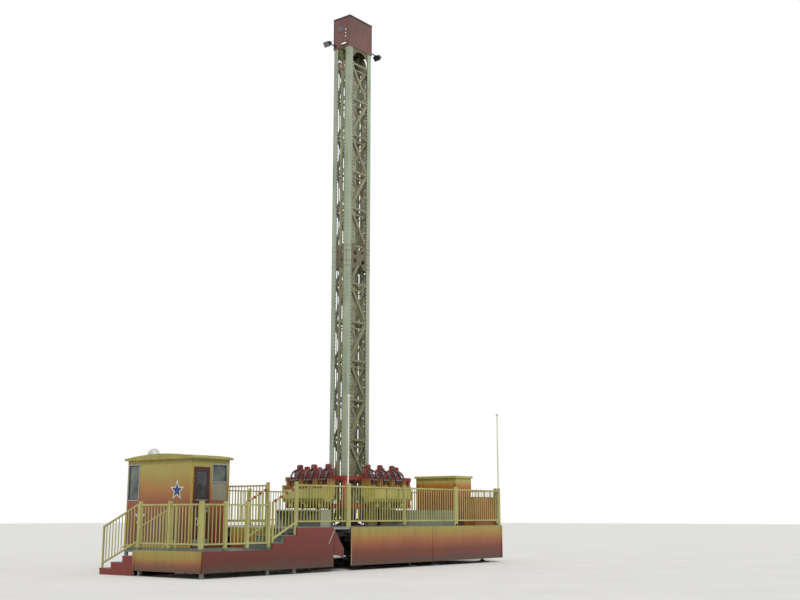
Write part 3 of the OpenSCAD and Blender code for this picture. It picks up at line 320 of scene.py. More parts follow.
# Hoist. Grooved iron sheaves at the head and foot carry two endless wire ropes that hold the carriage, which
# lands on rubber blocks on the deck.
coat(painted_steel("sheave_iron", "7f7d5b", "67654a", dirt=0.5, chips=0.6), "hoist_sheaves")
rope = Finish("wire_rope", "5b5a55", Metallic=0.7, Roughness=0.45)
twist = rope.node("ShaderNodeTexWave", {"bands_direction": "DIAGONAL"}, Vector=rope.place, Scale=60.0)
rope.feed(Base_Color=rope.mix(rope.ramp(twist, 0.2, 0.8), "35342f", "74726b"))
coat(rope.bump(twist, 0.003), "hoist_cables")
rubber = mottled("rubber", "242424", ("1f1f1f", "34322f"), 14, 0.35, 0.7, grain=(60, 0.002), Roughness=0.8)
coat(rubber, "landing_buffers")

# Ticket booth. Painted sheet-metal cabin at the left end of the lower deck: yellow walls that fade to dark
# red at the foot, framed windows, a dark red door and an arched roof with a round white lamp.
booth_paint = painted_steel("booth_paint", "d9a53a", "cf9630", chips=0.3)
booth_stops = [(0.0, "663026"), (0.35, "894b30"), (0.62, "9f723b"), (0.85, "9d8e48"), (1.0, "9d944d")]
height = booth_paint.ramp(booth_paint.axis("Z") + booth_paint.noise(0.8, 2) * 0.3, 1.35, 2.95)
spray = booth_paint.node("ShaderNodeValToRGB", {"stops": booth_stops}, height)
booth_paint.feed(Base_Color=booth_paint.mix(booth_paint.streaks(11, 0.1, 0.52) * 0.16, spray, "5b4a2a"))
coat(booth_paint, "booth_side_wall", "booth_back_wall", "booth_inner_wall", "booth_jamb", "booth_header",
     "booth_window_wall")
coat(painted_steel("door_paint", "4d231c", "3d1c17", chips=0.3), "booth_door")
roof_paint = coat(painted_steel("roof_paint", "a19a4c", "8b843f", dirt=0.45, chips=0.3), "booth_roof")
glass = mottled("window_glass", "5d6a68", ("4c5856", "8a938d"), 4, 0.35, 0.75, Alpha=0.55,
                Specular_IOR_Level=0.6)
coat(glass.feed(Roughness=glass.patches * 0.15 + 0.05), "booth_glass")
coat(mottled("lamp_shell", "c6cac8", ("cbcfcc", "a9aaa1"), 5, 0.4, 0.75, Roughness=0.28,
             Subsurface_Weight=0.1), "booth_dome")

# Machinery and furniture on the deck. The operator's cabinet and the equipment box are orange-painted
# sheet; the benches are folded grey-green sheet and the locker beside them is yellow.
cabinet_stops = [(0.0, "7c3823"), (0.55, "8f4a28"), (0.78, "b0722f"), (0.86, "aca056"), (1.0, "b2aa62")]
cabinet_paint = coat(sprayed("cabinet_fade", cabinet_stops, 1.2, 2.72), "control_cabinet")
coat(painted_steel("box_paint", "a0622f", "8c5228", dirt=0.35, chips=0.4), "equipment_box")
coat(painted_steel("bench_paint", "98a08c", "858d79", chips=0.4), "benches")
coat(painted_steel("locker_paint", "b3a04a", "9f8c3f", chips=0.4), "deck_locker")

# Carriage. Two welded square rings round the mast with rollers on its column corners; the rings are red,
# the cheeks and lugs with them.
ring_paint = painted_steel("ring_paint", "8c2f25", "762720", dirt=0.35)
coat(ring_paint, "carriage_ring_low", "carriage_ring_high")
coat(mottled("roller_tyre", "6f5a34", ("7c6538", "3b342a"), 30, 0.4, 0.65, grain=(90, 0.001), Roughness=0.5),
     "guide_rollers")

# Seats. Rows of three moulded glass-fibre shells, yellow with orange-red tops, bolted to the rings; the
# shoulder arms over them are skinned in glossy black foam.
shell = Finish("seat_shell", "b8aa4c", Coat_Weight=0.3, Coat_Roughness=0.15)
fade = shell.ramp(shell.axis("Z") + shell.noise(2, 2) * 0.05, 2.15, 2.6)
tone = shell.mix(shell.ramp(shell.noise(1.5), 0.3, 0.7), "b3ab55", "9f9748")
grime = shell.streaks(8, 0.2) * 0.35
shell.feed(Base_Color=shell.mix(grime, shell.mix(fade, tone, "83322a"), "4f4a2e"),
           Roughness=grime * 0.4 + 0.26)
coat(shell.bump(shell.noise(70), 0.0008), "seats_front", "seats_back", "seats_left", "seats_right")
restraint_foam = mottled("restraint_foam", "26262a", ("232327", "3a3836"), 18, 0.4, 0.7, grain=(220, 0.0006),
                         Roughness=0.3, Coat_Weight=0.6, Coat_Roughness=0.12)
coat(restraint_foam, "restraints")


# Mast lamps. Small domed lamp caps in a shallow channel along the inner edge of every column leg, clear of
# the rollers; the channels are cream folded strip, pop-riveted to the lattice, and stop at the fold.
class Repeat(Net):
    """A Geometry Nodes tree that sets shapes along edges or on points, with named sizes."""

    def __init__(self, name, *sizes):
        super().__init__(bpy.data.node_groups.new(name, "GeometryNodeTree"))
        for way in ("INPUT", "OUTPUT"):
            self.tree.interface.new_socket("Geometry", in_out=way, socket_type="NodeSocketGeometry")
        for size in sizes:
            self.tree.interface.new_socket(size, in_out="INPUT", socket_type="NodeSocketFloat")
        entry = self.tree.nodes.new("NodeGroupInput")
        self.start = Wire(self, entry.outputs["Geometry"])
        self.sizes = [Wire(self, entry.outputs[size]) for size in sizes]

    def along(self, pitch):
        line = self.node("GeometryNodeMeshToCurve", None, self.start)
        return self.node("GeometryNodeResampleCurve", {"mode": "LENGTH"}, Curve=line, Length=pitch)

    def shape(self, kind, lift=0.0, **sizes):
        """A primitive whose local Z is the direction it faces, raised by lift."""
        made = self.node("GeometryNodeMesh" + kind, None, **sizes)
        return self.node("GeometryNodeTransform", None, made, Translation=(0, 0, lift))

    def set_on(self, points, shapes, finish):
        shape = self.node("GeometryNodeJoinGeometry", None, shapes[0])
        for other in shapes[1:]:
            self.tree.links.new(other.socket, shape.socket.node.inputs[0])
        way = self.node("GeometryNodeInputNamedAttribute", {"data_type": "FLOAT_VECTOR"}, "facing")
        facing = self.node("FunctionNodeAlignRotationToVector", {"axis": "Z"}, None, None, way)
        spread = self.node("GeometryNodeInstanceOnPoints", None, Points=points, Instance=shape,
                           Rotation=facing)
        solid = self.node("GeometryNodeRealizeInstances", None, spread)
        done = self.node("GeometryNodeSetMaterial", None, solid, None, finish.material)
        self.tree.links.new(done.socket, self.tree.nodes.new("NodeGroupOutput").inputs[0])

    def grow(self, name, spots, slot, smooth=True, **sizes):
        """Runs the tree on lines or points, given as lists of (place, facing), and keeps a plain mesh."""
        mesh = bpy.data.meshes.new(name)
        edges, at = [], 0
        for spot in spots:
            edges += [(at + i, at + i + 1) for i in range(len(spot) - 1)]
            at += len(spot)
        mesh.from_pydata([Vector(place) for spot in spots for place, _ in spot], edges, [])
        facing = mesh.attributes.new("facing", "FLOAT_VECTOR", "POINT")
        facing.data.foreach_set("vector", [c for spot in spots for _, way in spot for c in way])
        piece = put(name, mesh)
        run = piece.modifiers.new("repeat", "NODES")
        run.node_group = self.tree
        for item in self.tree.interface.items_tree:
            if item.in_out == "INPUT" and item.name in sizes:
                run[item.identifier] = sizes[item.name]
        bpy.context.view_layer.update()
        piece_now = piece.evaluated_get(bpy.context.evaluated_depsgraph_get())
        plain = bpy.data.meshes.new_from_object(piece_now)
        piece.modifiers.clear()
        piece.data = plain
        plain.shade_smooth() if smooth else plain.shade_flat()
        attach(piece, "root")


def mesh_of(name, form):
    """Mesh of a bmesh, which is given up."""
    mesh = bpy.data.meshes.new(name)
    form.to_mesh(mesh)
    form.free()
    return mesh


def settle(name, form, finish, body="root", bevel=0.0, smooth_angle=0.5):
    """Turns a bmesh into a finished piece with outward faces and, where given, rounded edges."""
    bmesh.ops.recalc_face_normals(form, faces=form.faces)
    mesh = mesh_of(name, form)
    mesh.materials.append(finish.material)
    piece = put(name, mesh)
    if bevel:
        edge = piece.modifiers.new("rounded", "BEVEL")
        edge.width = bevel
        edge.segments = 2
        edge.limit_method = "ANGLE"
    mesh.shade_smooth()
    mesh.set_sharp_from_angle(angle=smooth_angle)
    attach(piece, body)
    return piece


def add_block(form, low, high):
    """Adds a box between two corners to a bmesh."""
    low, high = Vector(low), Vector(high)
    size = [max(abs(b - a), 1e-4) for a, b in zip(low, high)]
    at = Matrix.Translation((low + high) / 2) @ Matrix.Diagonal((*size, 1))
    return bmesh.ops.create_cube(form, size=1.0, matrix=at)["verts"]


def corners(name):
    """Lowest and highest corner of a CAD node."""
    return [Vector(corner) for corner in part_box(name)]


mast_high = corners("mast_columns")[1]
lattice_low, lattice_high = corners("lattice_wide")
fold_low, fold_high = 9.2, 10.0
strip_wide, strip_in, strip_deep, lamp_in = 0.036, 0.181, 0.004, 0.06
strip_runs = [(1.5, fold_low - 0.03), (fold_high + 0.03, lattice_high.z)]
four_corners = ((-1, -1), (-1, 1), (1, -1), (1, 1))
lamp_lines, strips = [], bmesh.new()
for side, end in four_corners:
    y_leg = Vector((side * mast_high.x, end * (mast_high.y - strip_in), 0)), Vector((side, 0, 0))
    x_leg = Vector((end * (mast_high.x - strip_in), side * mast_high.y, 0)), Vector((0, side, 0))
    for low, high in strip_runs:
        for face, out in (y_leg, x_leg):
            across = Vector((abs(out.y), abs(out.x), 0)) * strip_wide
            back, foot, top = out * strip_deep, Vector((0, 0, low)), Vector((0, 0, high))
            for a, b, deep in ((-0.5, 0.5, 0.5), (-0.5, -0.42, 0.0), (0.42, 0.5, 0.0)):
                add_block(strips, face + across * a + back * deep + foot, face + across * b + back + top)
            lamp_lines.append([(face + back * 0.5 + Vector((0, 0, z)), out)
                               for z in (low + lamp_in, high - lamp_in)])
settle("mast_lamp_strips", strips, mast_paint)
lamp_glow = mottled("lamp_cap", "2b3440", ("27303d", "46463f"), 9, 0.42, 0.6, detail=3, Roughness=0.2,
                    Coat_Weight=0.4)
lamps = Repeat("lamp_caps", "Pitch", "Radius")
pitch, radius = lamps.sizes
cap = lamps.shape("UVSphere", -0.007, Segments=8, Rings=5, Radius=radius)
collar = lamps.shape("Cylinder", 0.002, Vertices=8, Radius=radius * 1.25, Depth=0.004)
lamps.set_on(lamps.along(pitch), [cap, collar], lamp_glow)
lamps.grow("mast_lamps", lamp_lines, "glass", Pitch=0.115, Radius=0.017)


# Head trims. Navy angle strips are riveted over two of the box's corners and its top edge; a slot lamp, three
# small lamps and a plain grey oval are fixed to its left side.
def add_parts(form, place, blocks):
    """Adds boxes that are given in the coordinates of a plane."""
    for low, high in blocks:
        bmesh.ops.transform(form, matrix=place, verts=add_block(form, low, high))


def add_pin(form, place, at, radius, height, sides=16, taper=0.9):
    """Adds a round head that stands on a plane, at x and y on it and raised by z."""
    spot = place @ Matrix.Translation((at[0], at[1], at[2] + height / 2))
    bmesh.ops.create_cone(form, cap_ends=True, segments=sides, radius1=radius, radius2=radius * taper,
                          depth=height, matrix=spot)


navy = painted_steel("navy_trim", "232a45", "1b2138", dirt=0.25)
head_low, head_high = corners("head_box")
head_top = corners("head_roof")[0].z
trims = bmesh.new()
wide, proud = 0.03, 0.005
for sx, sy in ((-1, 1), (1, -1)):
    x, y = sx * head_high.x, sy * head_high.y
    corner = (x + sx * proud, y + sy * proud, head_low.z)
    add_block(trims, corner, (x - sx * wide, y, head_top))
    add_block(trims, corner, (x, y - sy * wide, head_top))
for side in (-1, 1):
    x, y, z = head_high.x, head_high.y, head_top - wide
    add_block(trims, (-x, side * (y + proud), z), (x, side * y, head_top))
    add_block(trims, (side * (x + proud), -y, z), (side * x, y, head_top))
settle("head_trims", trims, navy, bevel=0.0015)

rivets = Repeat("rivets", "Pitch", "Radius")
pitch, radius = rivets.sizes
rivets.set_on(rivets.along(pitch), [rivets.shape("UVSphere", Segments=8, Rings=4, Radius=radius)], navy)
rivet_lines, edge_in = [], 0.045
for sx, sy in four_corners:
    heights = (head_low.z + 0.08, head_top - 0.08)
    x, y = sx * head_high.x, sy * head_high.y
    rivet_lines.append([((x, y - sy * edge_in, z), (sx, 0, 0)) for z in heights])
    rivet_lines.append([((x - sx * edge_in, y, z), (0, sy, 0)) for z in heights])
rivets.grow("head_rivets", rivet_lines, "dark_red_paint", Pitch=0.12, Radius=0.006)

disc = bmesh.new()
outwards = Matrix.Rotation(math.radians(-90), 4, "Y") @ Matrix.Diagonal((0.82, 1, 1, 1))
disc_place = Matrix.Translation((-head_high.x, 0.045, head_low.z + 0.66)) @ outwards
for radius, thick in ((0.125, 0.012), (0.105, 0.02), (0.045, 0.028)):
    add_pin(disc, disc_place, (0, 0, 0), radius, thick, sides=48, taper=0.96)
disc_grey = painted_steel("disc_grey", "6f747c", "595e66", dirt=0.35, chips=0.2)
settle("head_disc", disc, disc_grey, bevel=0.002)

bright = Finish("bright_lens", "f3efe2", Roughness=0.18, Coat_Weight=0.5, Emission_Color=rgb("fff6e0"),
                Emission_Strength=0.35)
ribbed = bright.node("ShaderNodeTexWave", {"bands_direction": "Z"}, Vector=bright.place, Scale=40.0)
bright.feed(Base_Color=bright.mix(ribbed, "f5f1e6", "dcd6c2"))
pod, lenses = bmesh.new(), bmesh.new()
slot_at = Vector((-head_high.x, -0.12, head_low.z + 0.12))
add_block(pod, slot_at + Vector((-0.03, -0.13, -0.035)), slot_at + Vector((0, 0.13, 0.035)))
for i in range(3):
    spot = slot_at + Vector((0, -0.07, 0.24 + 0.12 * i))
    add_pin(pod, Matrix.Translation(spot) @ outwards, (0, 0, 0), 0.032, 0.02, sides=24, taper=0.8125)
    place = Matrix.Translation(spot + Vector((-0.02, 0, 0))) @ Matrix.Diagonal((0.4, 1, 1, 1))
    bmesh.ops.create_uvsphere(lenses, u_segments=16, v_segments=8, radius=0.022, matrix=place)
place = Matrix.Translation(slot_at + Vector((-0.028, 0, 0))) @ Matrix.Diagonal((0.12, 1, 0.22, 1))
bmesh.ops.create_uvsphere(lenses, u_segments=24, v_segments=12, radius=0.12, matrix=place)
settle("head_lamp_cases", pod, black_iron, bevel=0.004)
settle("head_lenses", lenses, bright)

# Floodlight glasses. Ribbed lens behind a wire guard in the front of each lamp, aimed at the ride below; the
# guard is nine upright and nine level wires.
lamp_glass = Finish("flood_glass", "b9c0c0", Roughness=0.12, Metallic=0.3, Coat_Weight=0.6)
ribs = lamp_glass.node("ShaderNodeTexWave", {"bands_direction": "Y"}, Vector=lamp_glass.place, Scale=30.0)
lamp_glass.feed(Base_Color=lamp_glass.mix(ribs, "c4cac9", "7d8586"))
glasses, guards = bmesh.new(), bmesh.new()
arm_end, tilt, wire = head_high.x + 0.32, math.radians(35), 0.0015
for side in (-1, 1):
    base = Matrix.Translation((side * arm_end, -side * (mast_high.y - 0.06), head_low.z + 0.13))
    turned = Matrix.Rotation(0 if side > 0 else math.pi, 4, "Z") @ Matrix.Rotation(tilt, 4, "Y")
    add_parts(glasses, base @ turned, [((0.1435, -0.1, -0.08), (0.147, 0.1, 0.08))])
    for i in range(-4, 5):
        y, z = i * 0.025, i * 0.02
        add_parts(guards, base @ turned, [((0.149, y - wire, -0.085), (0.152, y + wire, 0.085)),
                                          ((0.152, -0.1, z - wire), (0.155, 0.1, z + wire))])
settle("flood_glasses", glasses, lamp_glass, bevel=0.001)
settle("flood_guards", guards, black_iron)


# Booth trims. Window frames with rubber seals, corner angles, a star on each painted side, the door's pane,
# kick plate and lock, and standing seams on the arched roof.
def wall_plane(at, out):
    """Matrix whose X runs along a wall, Y goes up and Z points out of it."""
    up, out = Vector((0, 0, 1)), Vector(out)
    return Matrix.Translation(at) @ Matrix((up.cross(out), up, out)).transposed().to_4x4()


def frame_bars(width, height, wide, proud, back=0.0):
    """Four bars round an opening."""
    w, h = width / 2, height / 2
    return [((-w - wide, -h - wide, back), (w + wide, -h, proud)),
            ((-w - wide, h, back), (w + wide, h + wide, proud)),
            ((-w - wide, -h, back), (-w, h, proud)), ((w, -h, back), (w + wide, h, proud))]


def add_star(form, place, radius, proud):
    """Adds a raised five-pointed star."""
    points = [(radius * (0.42 if i % 2 else 1.0), math.radians(90 + 36 * i)) for i in range(10)]
    low, high = ([form.verts.new(place @ Vector((r * math.cos(a), r * math.sin(a), z))) for r, a in points]
                 for z in (0.0, proud))
    form.faces.new(high)
    for i in range(10):
        form.faces.new((low[i], low[(i + 1) % 10], high[(i + 1) % 10], high[i]))


def sweep(form, path, across, wide, thick, count=16, square=0.72):
    """Adds a bar with rounded ends that follows a path; across is the direction that its width lies in."""
    rings = []
    for i, point in enumerate(path):
        ahead = (path[min(i + 1, len(path) - 1)] - path[max(i - 1, 0)]).normalized()
        out = ahead.cross(across).normalized()
        end = min(i, len(path) - 1 - i)
        full = (0.55, 0.86, 0.97)[end] if end < 3 else 1.0
        ring = []
        for k in range(count):
            c, s = math.cos(math.tau * k / count), math.sin(math.tau * k / count)
            u = math.copysign(abs(c) ** square, c) * wide / 2 * full
            w = math.copysign(abs(s) ** square, s) * thick / 2 * full
            ring.append(form.verts.new(point + across * u + out * w))
        rings.append(ring)
    for one, two in zip(rings, rings[1:]):
        for k in range(count):
            form.faces.new((one[k], one[(k + 1) % count], two[(k + 1) % count], two[k]))
    form.faces.new(rings[0][::-1])
    form.faces.new(rings[-1])


(wall_left, floor_front, booth_low), (_, _, booth_high) = corners("booth_side_wall")
booth_right, booth_back, _ = corners("booth_inner_wall")[1]
left, front = (-1, 0, 0), (0, -1, 0)
window_x = -6.145
trim_alu = painted_steel("trim_alu", "a9aba4", "8d9089", dirt=0.35, chips=0.1, Metallic=0.7)
frames, seals = bmesh.new(), bmesh.new()
for plane, width, height in ((wall_plane((wall_left, 1.53, booth_high - 0.585), left), 0.42, 0.91),
                             (wall_plane((window_x, floor_front, booth_high - 0.36), front), 0.48, 0.42)):
    add_parts(frames, plane, frame_bars(width, height, 0.032, 0.014))
    add_parts(seals, plane, frame_bars(width - 0.026, height - 0.026, 0.012, 0.002, back=-0.018))
settle("window_frames", frames, trim_alu, bevel=0.003)
settle("window_seals", seals, rubber, bevel=0.002)

angles, leg, proud = bmesh.new(), 0.032, 0.003
foot, top = booth_low + 0.004, booth_high - 0.004
for x, sx in ((wall_left, -1), (booth_right, 1)):
    for y, sy in ((floor_front, -1), (booth_back, 1)):
        corner = (x + sx * proud, y + sy * proud, foot)
        add_block(angles, corner, (x - sx * leg, y, top))
        add_block(angles, corner, (x, y - sy * leg, top))
plinth, side_out = booth_low + 0.06, wall_left - 0.005
add_block(angles, (side_out, floor_front, foot), (wall_left, booth_back, plinth))
add_block(angles, (side_out, floor_front, booth_high - 0.05), (wall_left, booth_back, booth_high - 0.008))
add_block(angles, (wall_left, booth_back, foot), (booth_right, booth_back + 0.005, plinth))
edging = painted_steel("booth_edging", "b09c3c", "93802f", dirt=0.45)
settle("booth_angles", angles, edging, bevel=0.0012)

star_white = painted_steel("star_white", "d9d8cd", "c3c1b2", chips=0.2)
star_blue = painted_steel("star_blue", "2c3f7d", "233268", dirt=0.25, chips=0.3)
side_stars = [(wall_plane((wall_left, -0.24, 2.08), left), 0.28),
              (wall_plane((wall_left, 1.22, 1.4), left), 0.22)]
door_stars = [(wall_plane((-6.78, floor_front + 0.002, 1.32), front), 0.18)]
for body, stars, slot in (("root", side_stars, "booth_paint"), ("booth_door", door_stars, "dark_red_paint")):
    rims, middles = bmesh.new(), bmesh.new()
    for plane, radius in stars:
        add_star(rims, plane, radius, 0.002)
        add_star(middles, plane, radius * 0.72, 0.0035)
    settle(body + "_star_rims", rims, star_white, body, smooth_angle=0.3)
    settle(body + "_stars", middles, star_blue, body, smooth_angle=0.3)

door_plane = wall_plane((-6.755, floor_front + 0.002, booth_low), front)
pane, hardware, gasket = bmesh.new(), bmesh.new(), bmesh.new()
add_parts(pane, door_plane, [((-0.18, 1.254, -0.011), (0.18, 1.946, -0.006))])
pane_middle = door_plane @ Matrix.Translation((0, 1.6, 0))
add_parts(gasket, pane_middle, frame_bars(0.34, 0.67, 0.018, 0.003, back=-0.006))
kick_plate, lock_plate = ((-0.25, 0.03, 0), (0.25, 0.22, 0.0015)), ((0.178, 0.9, 0), (0.252, 1.09, 0.003))
pane_sill = ((-0.2, 1.2, 0), (0.2, 1.225, 0.012))
add_parts(hardware, door_plane, [kick_plate, lock_plate, pane_sill])
screw_spots = [(x, z) for x in (-0.23, 0.0, 0.23) for z in (0.05, 0.2)] + [(0.215, 0.915), (0.215, 1.075)]
for x, z in screw_spots:
    add_pin(hardware, door_plane, (x, z, 0.0015), 0.006, 0.003, sides=8)
add_pin(hardware, door_plane, (0.215, 0.94, 0.003), 0.013, 0.008)
dark_glass = mottled("door_glass", "2c2b2c", ("262527", "4a4a50"), 4, 0.4, 0.75, Roughness=0.1,
                     Specular_IOR_Level=0.6)
settle("door_pane", pane, dark_glass, "booth_door")
settle("door_gasket", gasket, rubber, "booth_door", bevel=0.001)
settle("door_hardware", hardware, trim_alu, "booth_door", bevel=0.0006)

board, board_plane = bmesh.new(), wall_plane((window_x, floor_front, 2.05), front)
sheet = ((-0.24, -0.21, 0), (0.24, 0.21, 0.004))
add_parts(board, board_plane, [sheet, *frame_bars(0.48, 0.42, 0.016, 0.008)])
for sx, sy in four_corners:
    add_pin(board, board_plane, (sx * 0.22, sy * 0.19, 0.004), 0.006, 0.003, sides=8)
board_grey = painted_steel("board_grey", "8f8f78", "7d7d68", dirt=0.4, chips=0.2)
settle("notice_board", board, board_grey, bevel=0.001)

roof_low, roof_high = corners("booth_roof")
middle_y, chord, rise = (roof_low.y + roof_high.y) / 2, (roof_high.y - roof_low.y) / 2, 0.095
arch = (chord * chord + rise * rise) / (2 * rise)
seams = bmesh.new()
for x in (-7.12, -6.48, -6.13, -5.78):
    line = []
    for i in range(25):
        off = chord * 0.995 * (i / 12 - 1)
        line.append(Vector((x, middle_y + off, roof_high.z - arch + math.sqrt(arch**2 - off**2) + 0.004)))
    sweep(seams, line, Vector((1, 0, 0)), 0.016, 0.022, count=8)
settle("roof_seams", seams, roof_paint, smooth_angle=0.9)


# Deck trims. Grooved nosings, cover strips with screws over the panel joints, folded edge angles, sockets
# and caps on the fence posts, red sleeves on the stair's rails, and a plate and stay on the skirt.
def straight(a, b):
    """Eight points from one point to another."""
    return [a.lerp(b, i / 7) for i in range(8)]


deck_z, low_z, front_y = 1.13, 0.62, -3.2
alloy = painted_steel("alloy", "a4a6a0", "868881", dirt=0.45, chips=0.1, Metallic=0.8)
treads = bmesh.new()
nosings = [(Matrix.Translation((x, front_y + 0.04, z)), 0.92)
           for x, z in ((-6.58, 0.79), (-6.15, 0.96), (-5.7, deck_z))]
sideways = Matrix.Rotation(math.radians(-90), 4, "Z")
nosings += [(Matrix.Translation((-8.78, y, z)) @ sideways, 1.22)
            for y, z in ((0.57, 0.155), (0.13, 0.31), (-0.31, 0.465), (-0.77, low_z))]
for place, length in nosings:
    add_parts(treads, place, [((-0.003, 0, -0.028), (0, length, 0.003))])
    add_parts(treads, place, [((0.014 * i, 0, 0), (0.014 * i + 0.008, length, 0.004)) for i in range(4)])
settle("tread_nosings", treads, alloy)

strips, screw_lines = bmesh.new(), []
half_strip, thick = 0.018, 0.002
joints = [(-8.1, low_z, -3.08, -0.9), (-7.4, low_z, -3.08, -0.9)]
for i in range(10):
    x = -5.62 + i * 9.24 / 9
    spans = [(-3.18, -0.54), (0.54, 3.18)] if abs(x) < 0.75 else [(-3.18, 3.18)]
    joints += [(x, deck_z, low, high) for low, high in spans]
for x, z, low, high in joints:
    add_block(strips, (x - half_strip, low, z), (x + half_strip, high, z + thick))
    screw_lines.append([((x, y, z + thick), (0, 0, 1)) for y in (low + 0.08, high - 0.08)])
for low, high in (((-5.69, front_y - thick, deck_z - 0.05), (-3.62, front_y, deck_z + thick)),
                  ((-8.82, front_y - thick, low_z - 0.045), (-6.6, front_y, low_z + thick)),
                  ((-8.822, front_y, low_z - 0.045), (-8.82, -0.8, low_z + thick)),
                  ((-5.68, 3.17, deck_z), (3.68, 3.2, deck_z + 0.003))):
    add_block(strips, low, high)
settle("deck_strips", strips, alloy)
screws = Repeat("screw_heads", "Pitch", "Radius")
pitch, radius = screws.sizes
head = screws.shape("Cylinder", 0.001, Vertices=12, Radius=radius, Depth=0.002)
screws.set_on(screws.along(pitch), [head], alloy)
screws.grow("deck_screws", screw_lines, "deck_plate", smooth=False, Pitch=0.3, Radius=0.007)

sockets, caps = bmesh.new(), bmesh.new()
post, tall, rim = 0.035, 1.15, 0.002
thick_posts = ((-3.66, -3.14), (3.665, -3.14))
posts = [(x, y, deck_z) for x in (-5.665, -3.66, -1.21, 1.28, 3.665) for y in (-3.14, 3.14)
         if (x, y) not in thick_posts]
posts += [(3.64, y, deck_z) for y in (-3.03, 0, 3.03)] + [(-5.64, y, deck_z) for y in (-2.105, 0, 3.03)]
posts += [(x, -3.14, low_z) for x in (-8.785, -8.065, -7.345, -6.625)]
posts += [(-8.76, y, low_z) for y in (-3.065, -1.97, -0.875)]
for x, y, z in posts:
    add_block(sockets, (max(x - post - 0.012, -8.86), max(y - post - 0.01, -3.19), z),
              (min(x + post + 0.012, 3.71), min(y + post + 0.012, 3.2), z + 0.06))
    add_block(caps, (x - post - rim, y - post - rim, z + tall - 0.012),
              (x + post + rim, y + post + rim, z + tall + 0.005))
settle("post_sockets", sockets, deck_paint, bevel=0.004)
settle("post_caps", caps, cream_tube, bevel=0.004)

sleeves, along_y = bmesh.new(), Vector((0, 1, 0))
for y in (-3.175, -2.225):
    foot, head = Vector((-6.52, y, 1.758)), Vector((-5.73, y, 2.14))
    for i in range(4):
        path = straight(foot.lerp(head, 0.04 + 0.25 * i), foot.lerp(head, 0.16 + 0.25 * i))
        sweep(sleeves, path, along_y, 0.058, 0.064, square=0.45)
sleeve_red = painted_steel("sleeve_red", "8d2f27", "77261f", dirt=0.25, chips=0.3)
settle("rail_sleeves", sleeves, sleeve_red, smooth_angle=0.9)

stay, edge_strip, wing = bmesh.new(), bmesh.new(), bmesh.new()
stay_path = straight(Vector((-4.26, -3.234, 1.1)), Vector((-4.51, -3.234, 0.71)))
sweep(stay, stay_path, along_y, 0.008, 0.035, count=8)
add_block(edge_strip, (-3.615, -3.238, 0.14), (-3.6, -3.23, 1.12))
outline = [(-4.27, 0.42), (-4.07, 0.4), (-3.9, 0.34), (-3.875, 0.58), (-4.27, 1.08)]
near, far = ([wing.verts.new((x, y, z)) for x, z in outline] for y in (-3.209, -3.203))
wing.faces.new(near)
wing.faces.new(far[::-1])
for i, corner in enumerate(near):
    wing.faces.new((near[i - 1], corner, far[i], far[i - 1]))
settle("skirt_stay", stay, alloy, smooth_angle=0.9)
settle("skirt_wing", wing, dark_fade, bevel=0.002)
settle("skirt_edging", edge_strip, cream_tube)

# Cabinet, box, locker and bench fittings. Louvres, hinges and handles on the cabinet's leaves; toggle clasps
# on the box; a hasp on the locker; screwed cover strips over the joints of the benches.
kit, louvres = bmesh.new(), bmesh.new()
cab_low, cab_high = corners("control_cabinet")
leaf = (cab_high.y - cab_low.y - 0.2) / 2
for i, hand in ((0, -1), (1, 1)):
    middle = cab_low.y + 0.08 + leaf / 2 + i * (leaf + 0.04)
    plane = wall_plane((cab_low.x + 0.052, middle, cab_low.z + 0.74), left)
    edge = hand * (leaf / 2 - 0.07)
    hinge = -edge * 1.14
    add_parts(kit, plane, [((edge - 0.02, -0.09, 0), (edge + 0.02, 0.09, 0.006)),
                           ((edge - 0.009, -0.07, 0.006), (edge + 0.009, 0.07, 0.03))])
    for z in (-0.5, 0.5):
        add_pin(kit, plane, (hinge, z, 0), 0.014, 0.02)
        add_parts(kit, plane, [((hinge - 0.03, z - 0.05, 0), (hinge + 0.03, z + 0.05, 0.004))])
    add_parts(louvres, plane, [((-0.14, -0.55 + 0.035 * k, 0), (0.14, -0.535 + 0.035 * k, 0.009))
                               for k in range(7)])
settle("cabinet_louvres", louvres, cabinet_paint, bevel=0.003)
box_low, box_high = corners("equipment_box")
for x in (box_low.x + 0.25, box_high.x - 0.25):
    plane = wall_plane((x, box_low.y + 0.015, box_high.z - 0.025), front)
    add_parts(kit, plane, [((-0.02, -0.11, 0), (0.02, -0.03, 0.008)),
                           ((-0.008, -0.06, 0.008), (0.008, 0.004, 0.014)),
                           ((-0.016, -0.004, 0.0), (0.016, 0.02, 0.017))])
locker_low, locker_high = corners("deck_locker")
plane = wall_plane((locker_low.x + 0.01, (locker_low.y + locker_high.y) / 2, locker_high.z - 0.02), left)
add_parts(kit, plane, [((-0.018, -0.08, 0), (0.018, 0.004, 0.004)),
                       ((-0.006, -0.07, 0.004), (0.006, -0.045, 0.02))])
add_pin(kit, plane, (0, -0.085, 0.004), 0.016, 0.012)
fittings = painted_steel("fittings", "77776d", "5f5f57", dirt=0.4, chips=0.2, Metallic=0.6)
settle("deck_fittings", kit, fittings, bevel=0.0015)
seams, bench_top = bmesh.new(), corners("benches")[1].z
for x, y_near, y_far in ((2.22, -2.22, 0.23), (-3.1, -1.68, 0.12)):
    cuts = round((y_far - y_near) / 0.6)
    for i in range(1, cuts):
        y = y_near + (y_far - y_near) * i / cuts
        add_block(seams, (x - 0.002, y - 0.012, bench_top - 0.12), (x + 0.38, y + 0.012, bench_top + 0.002))
        for dx in (0.06, 0.32):
            add_pin(seams, Matrix.Translation((x + dx, y, bench_top)), (0, 0, 0.002), 0.008, 0.003)
settle("bench_seams", seams, alloy)

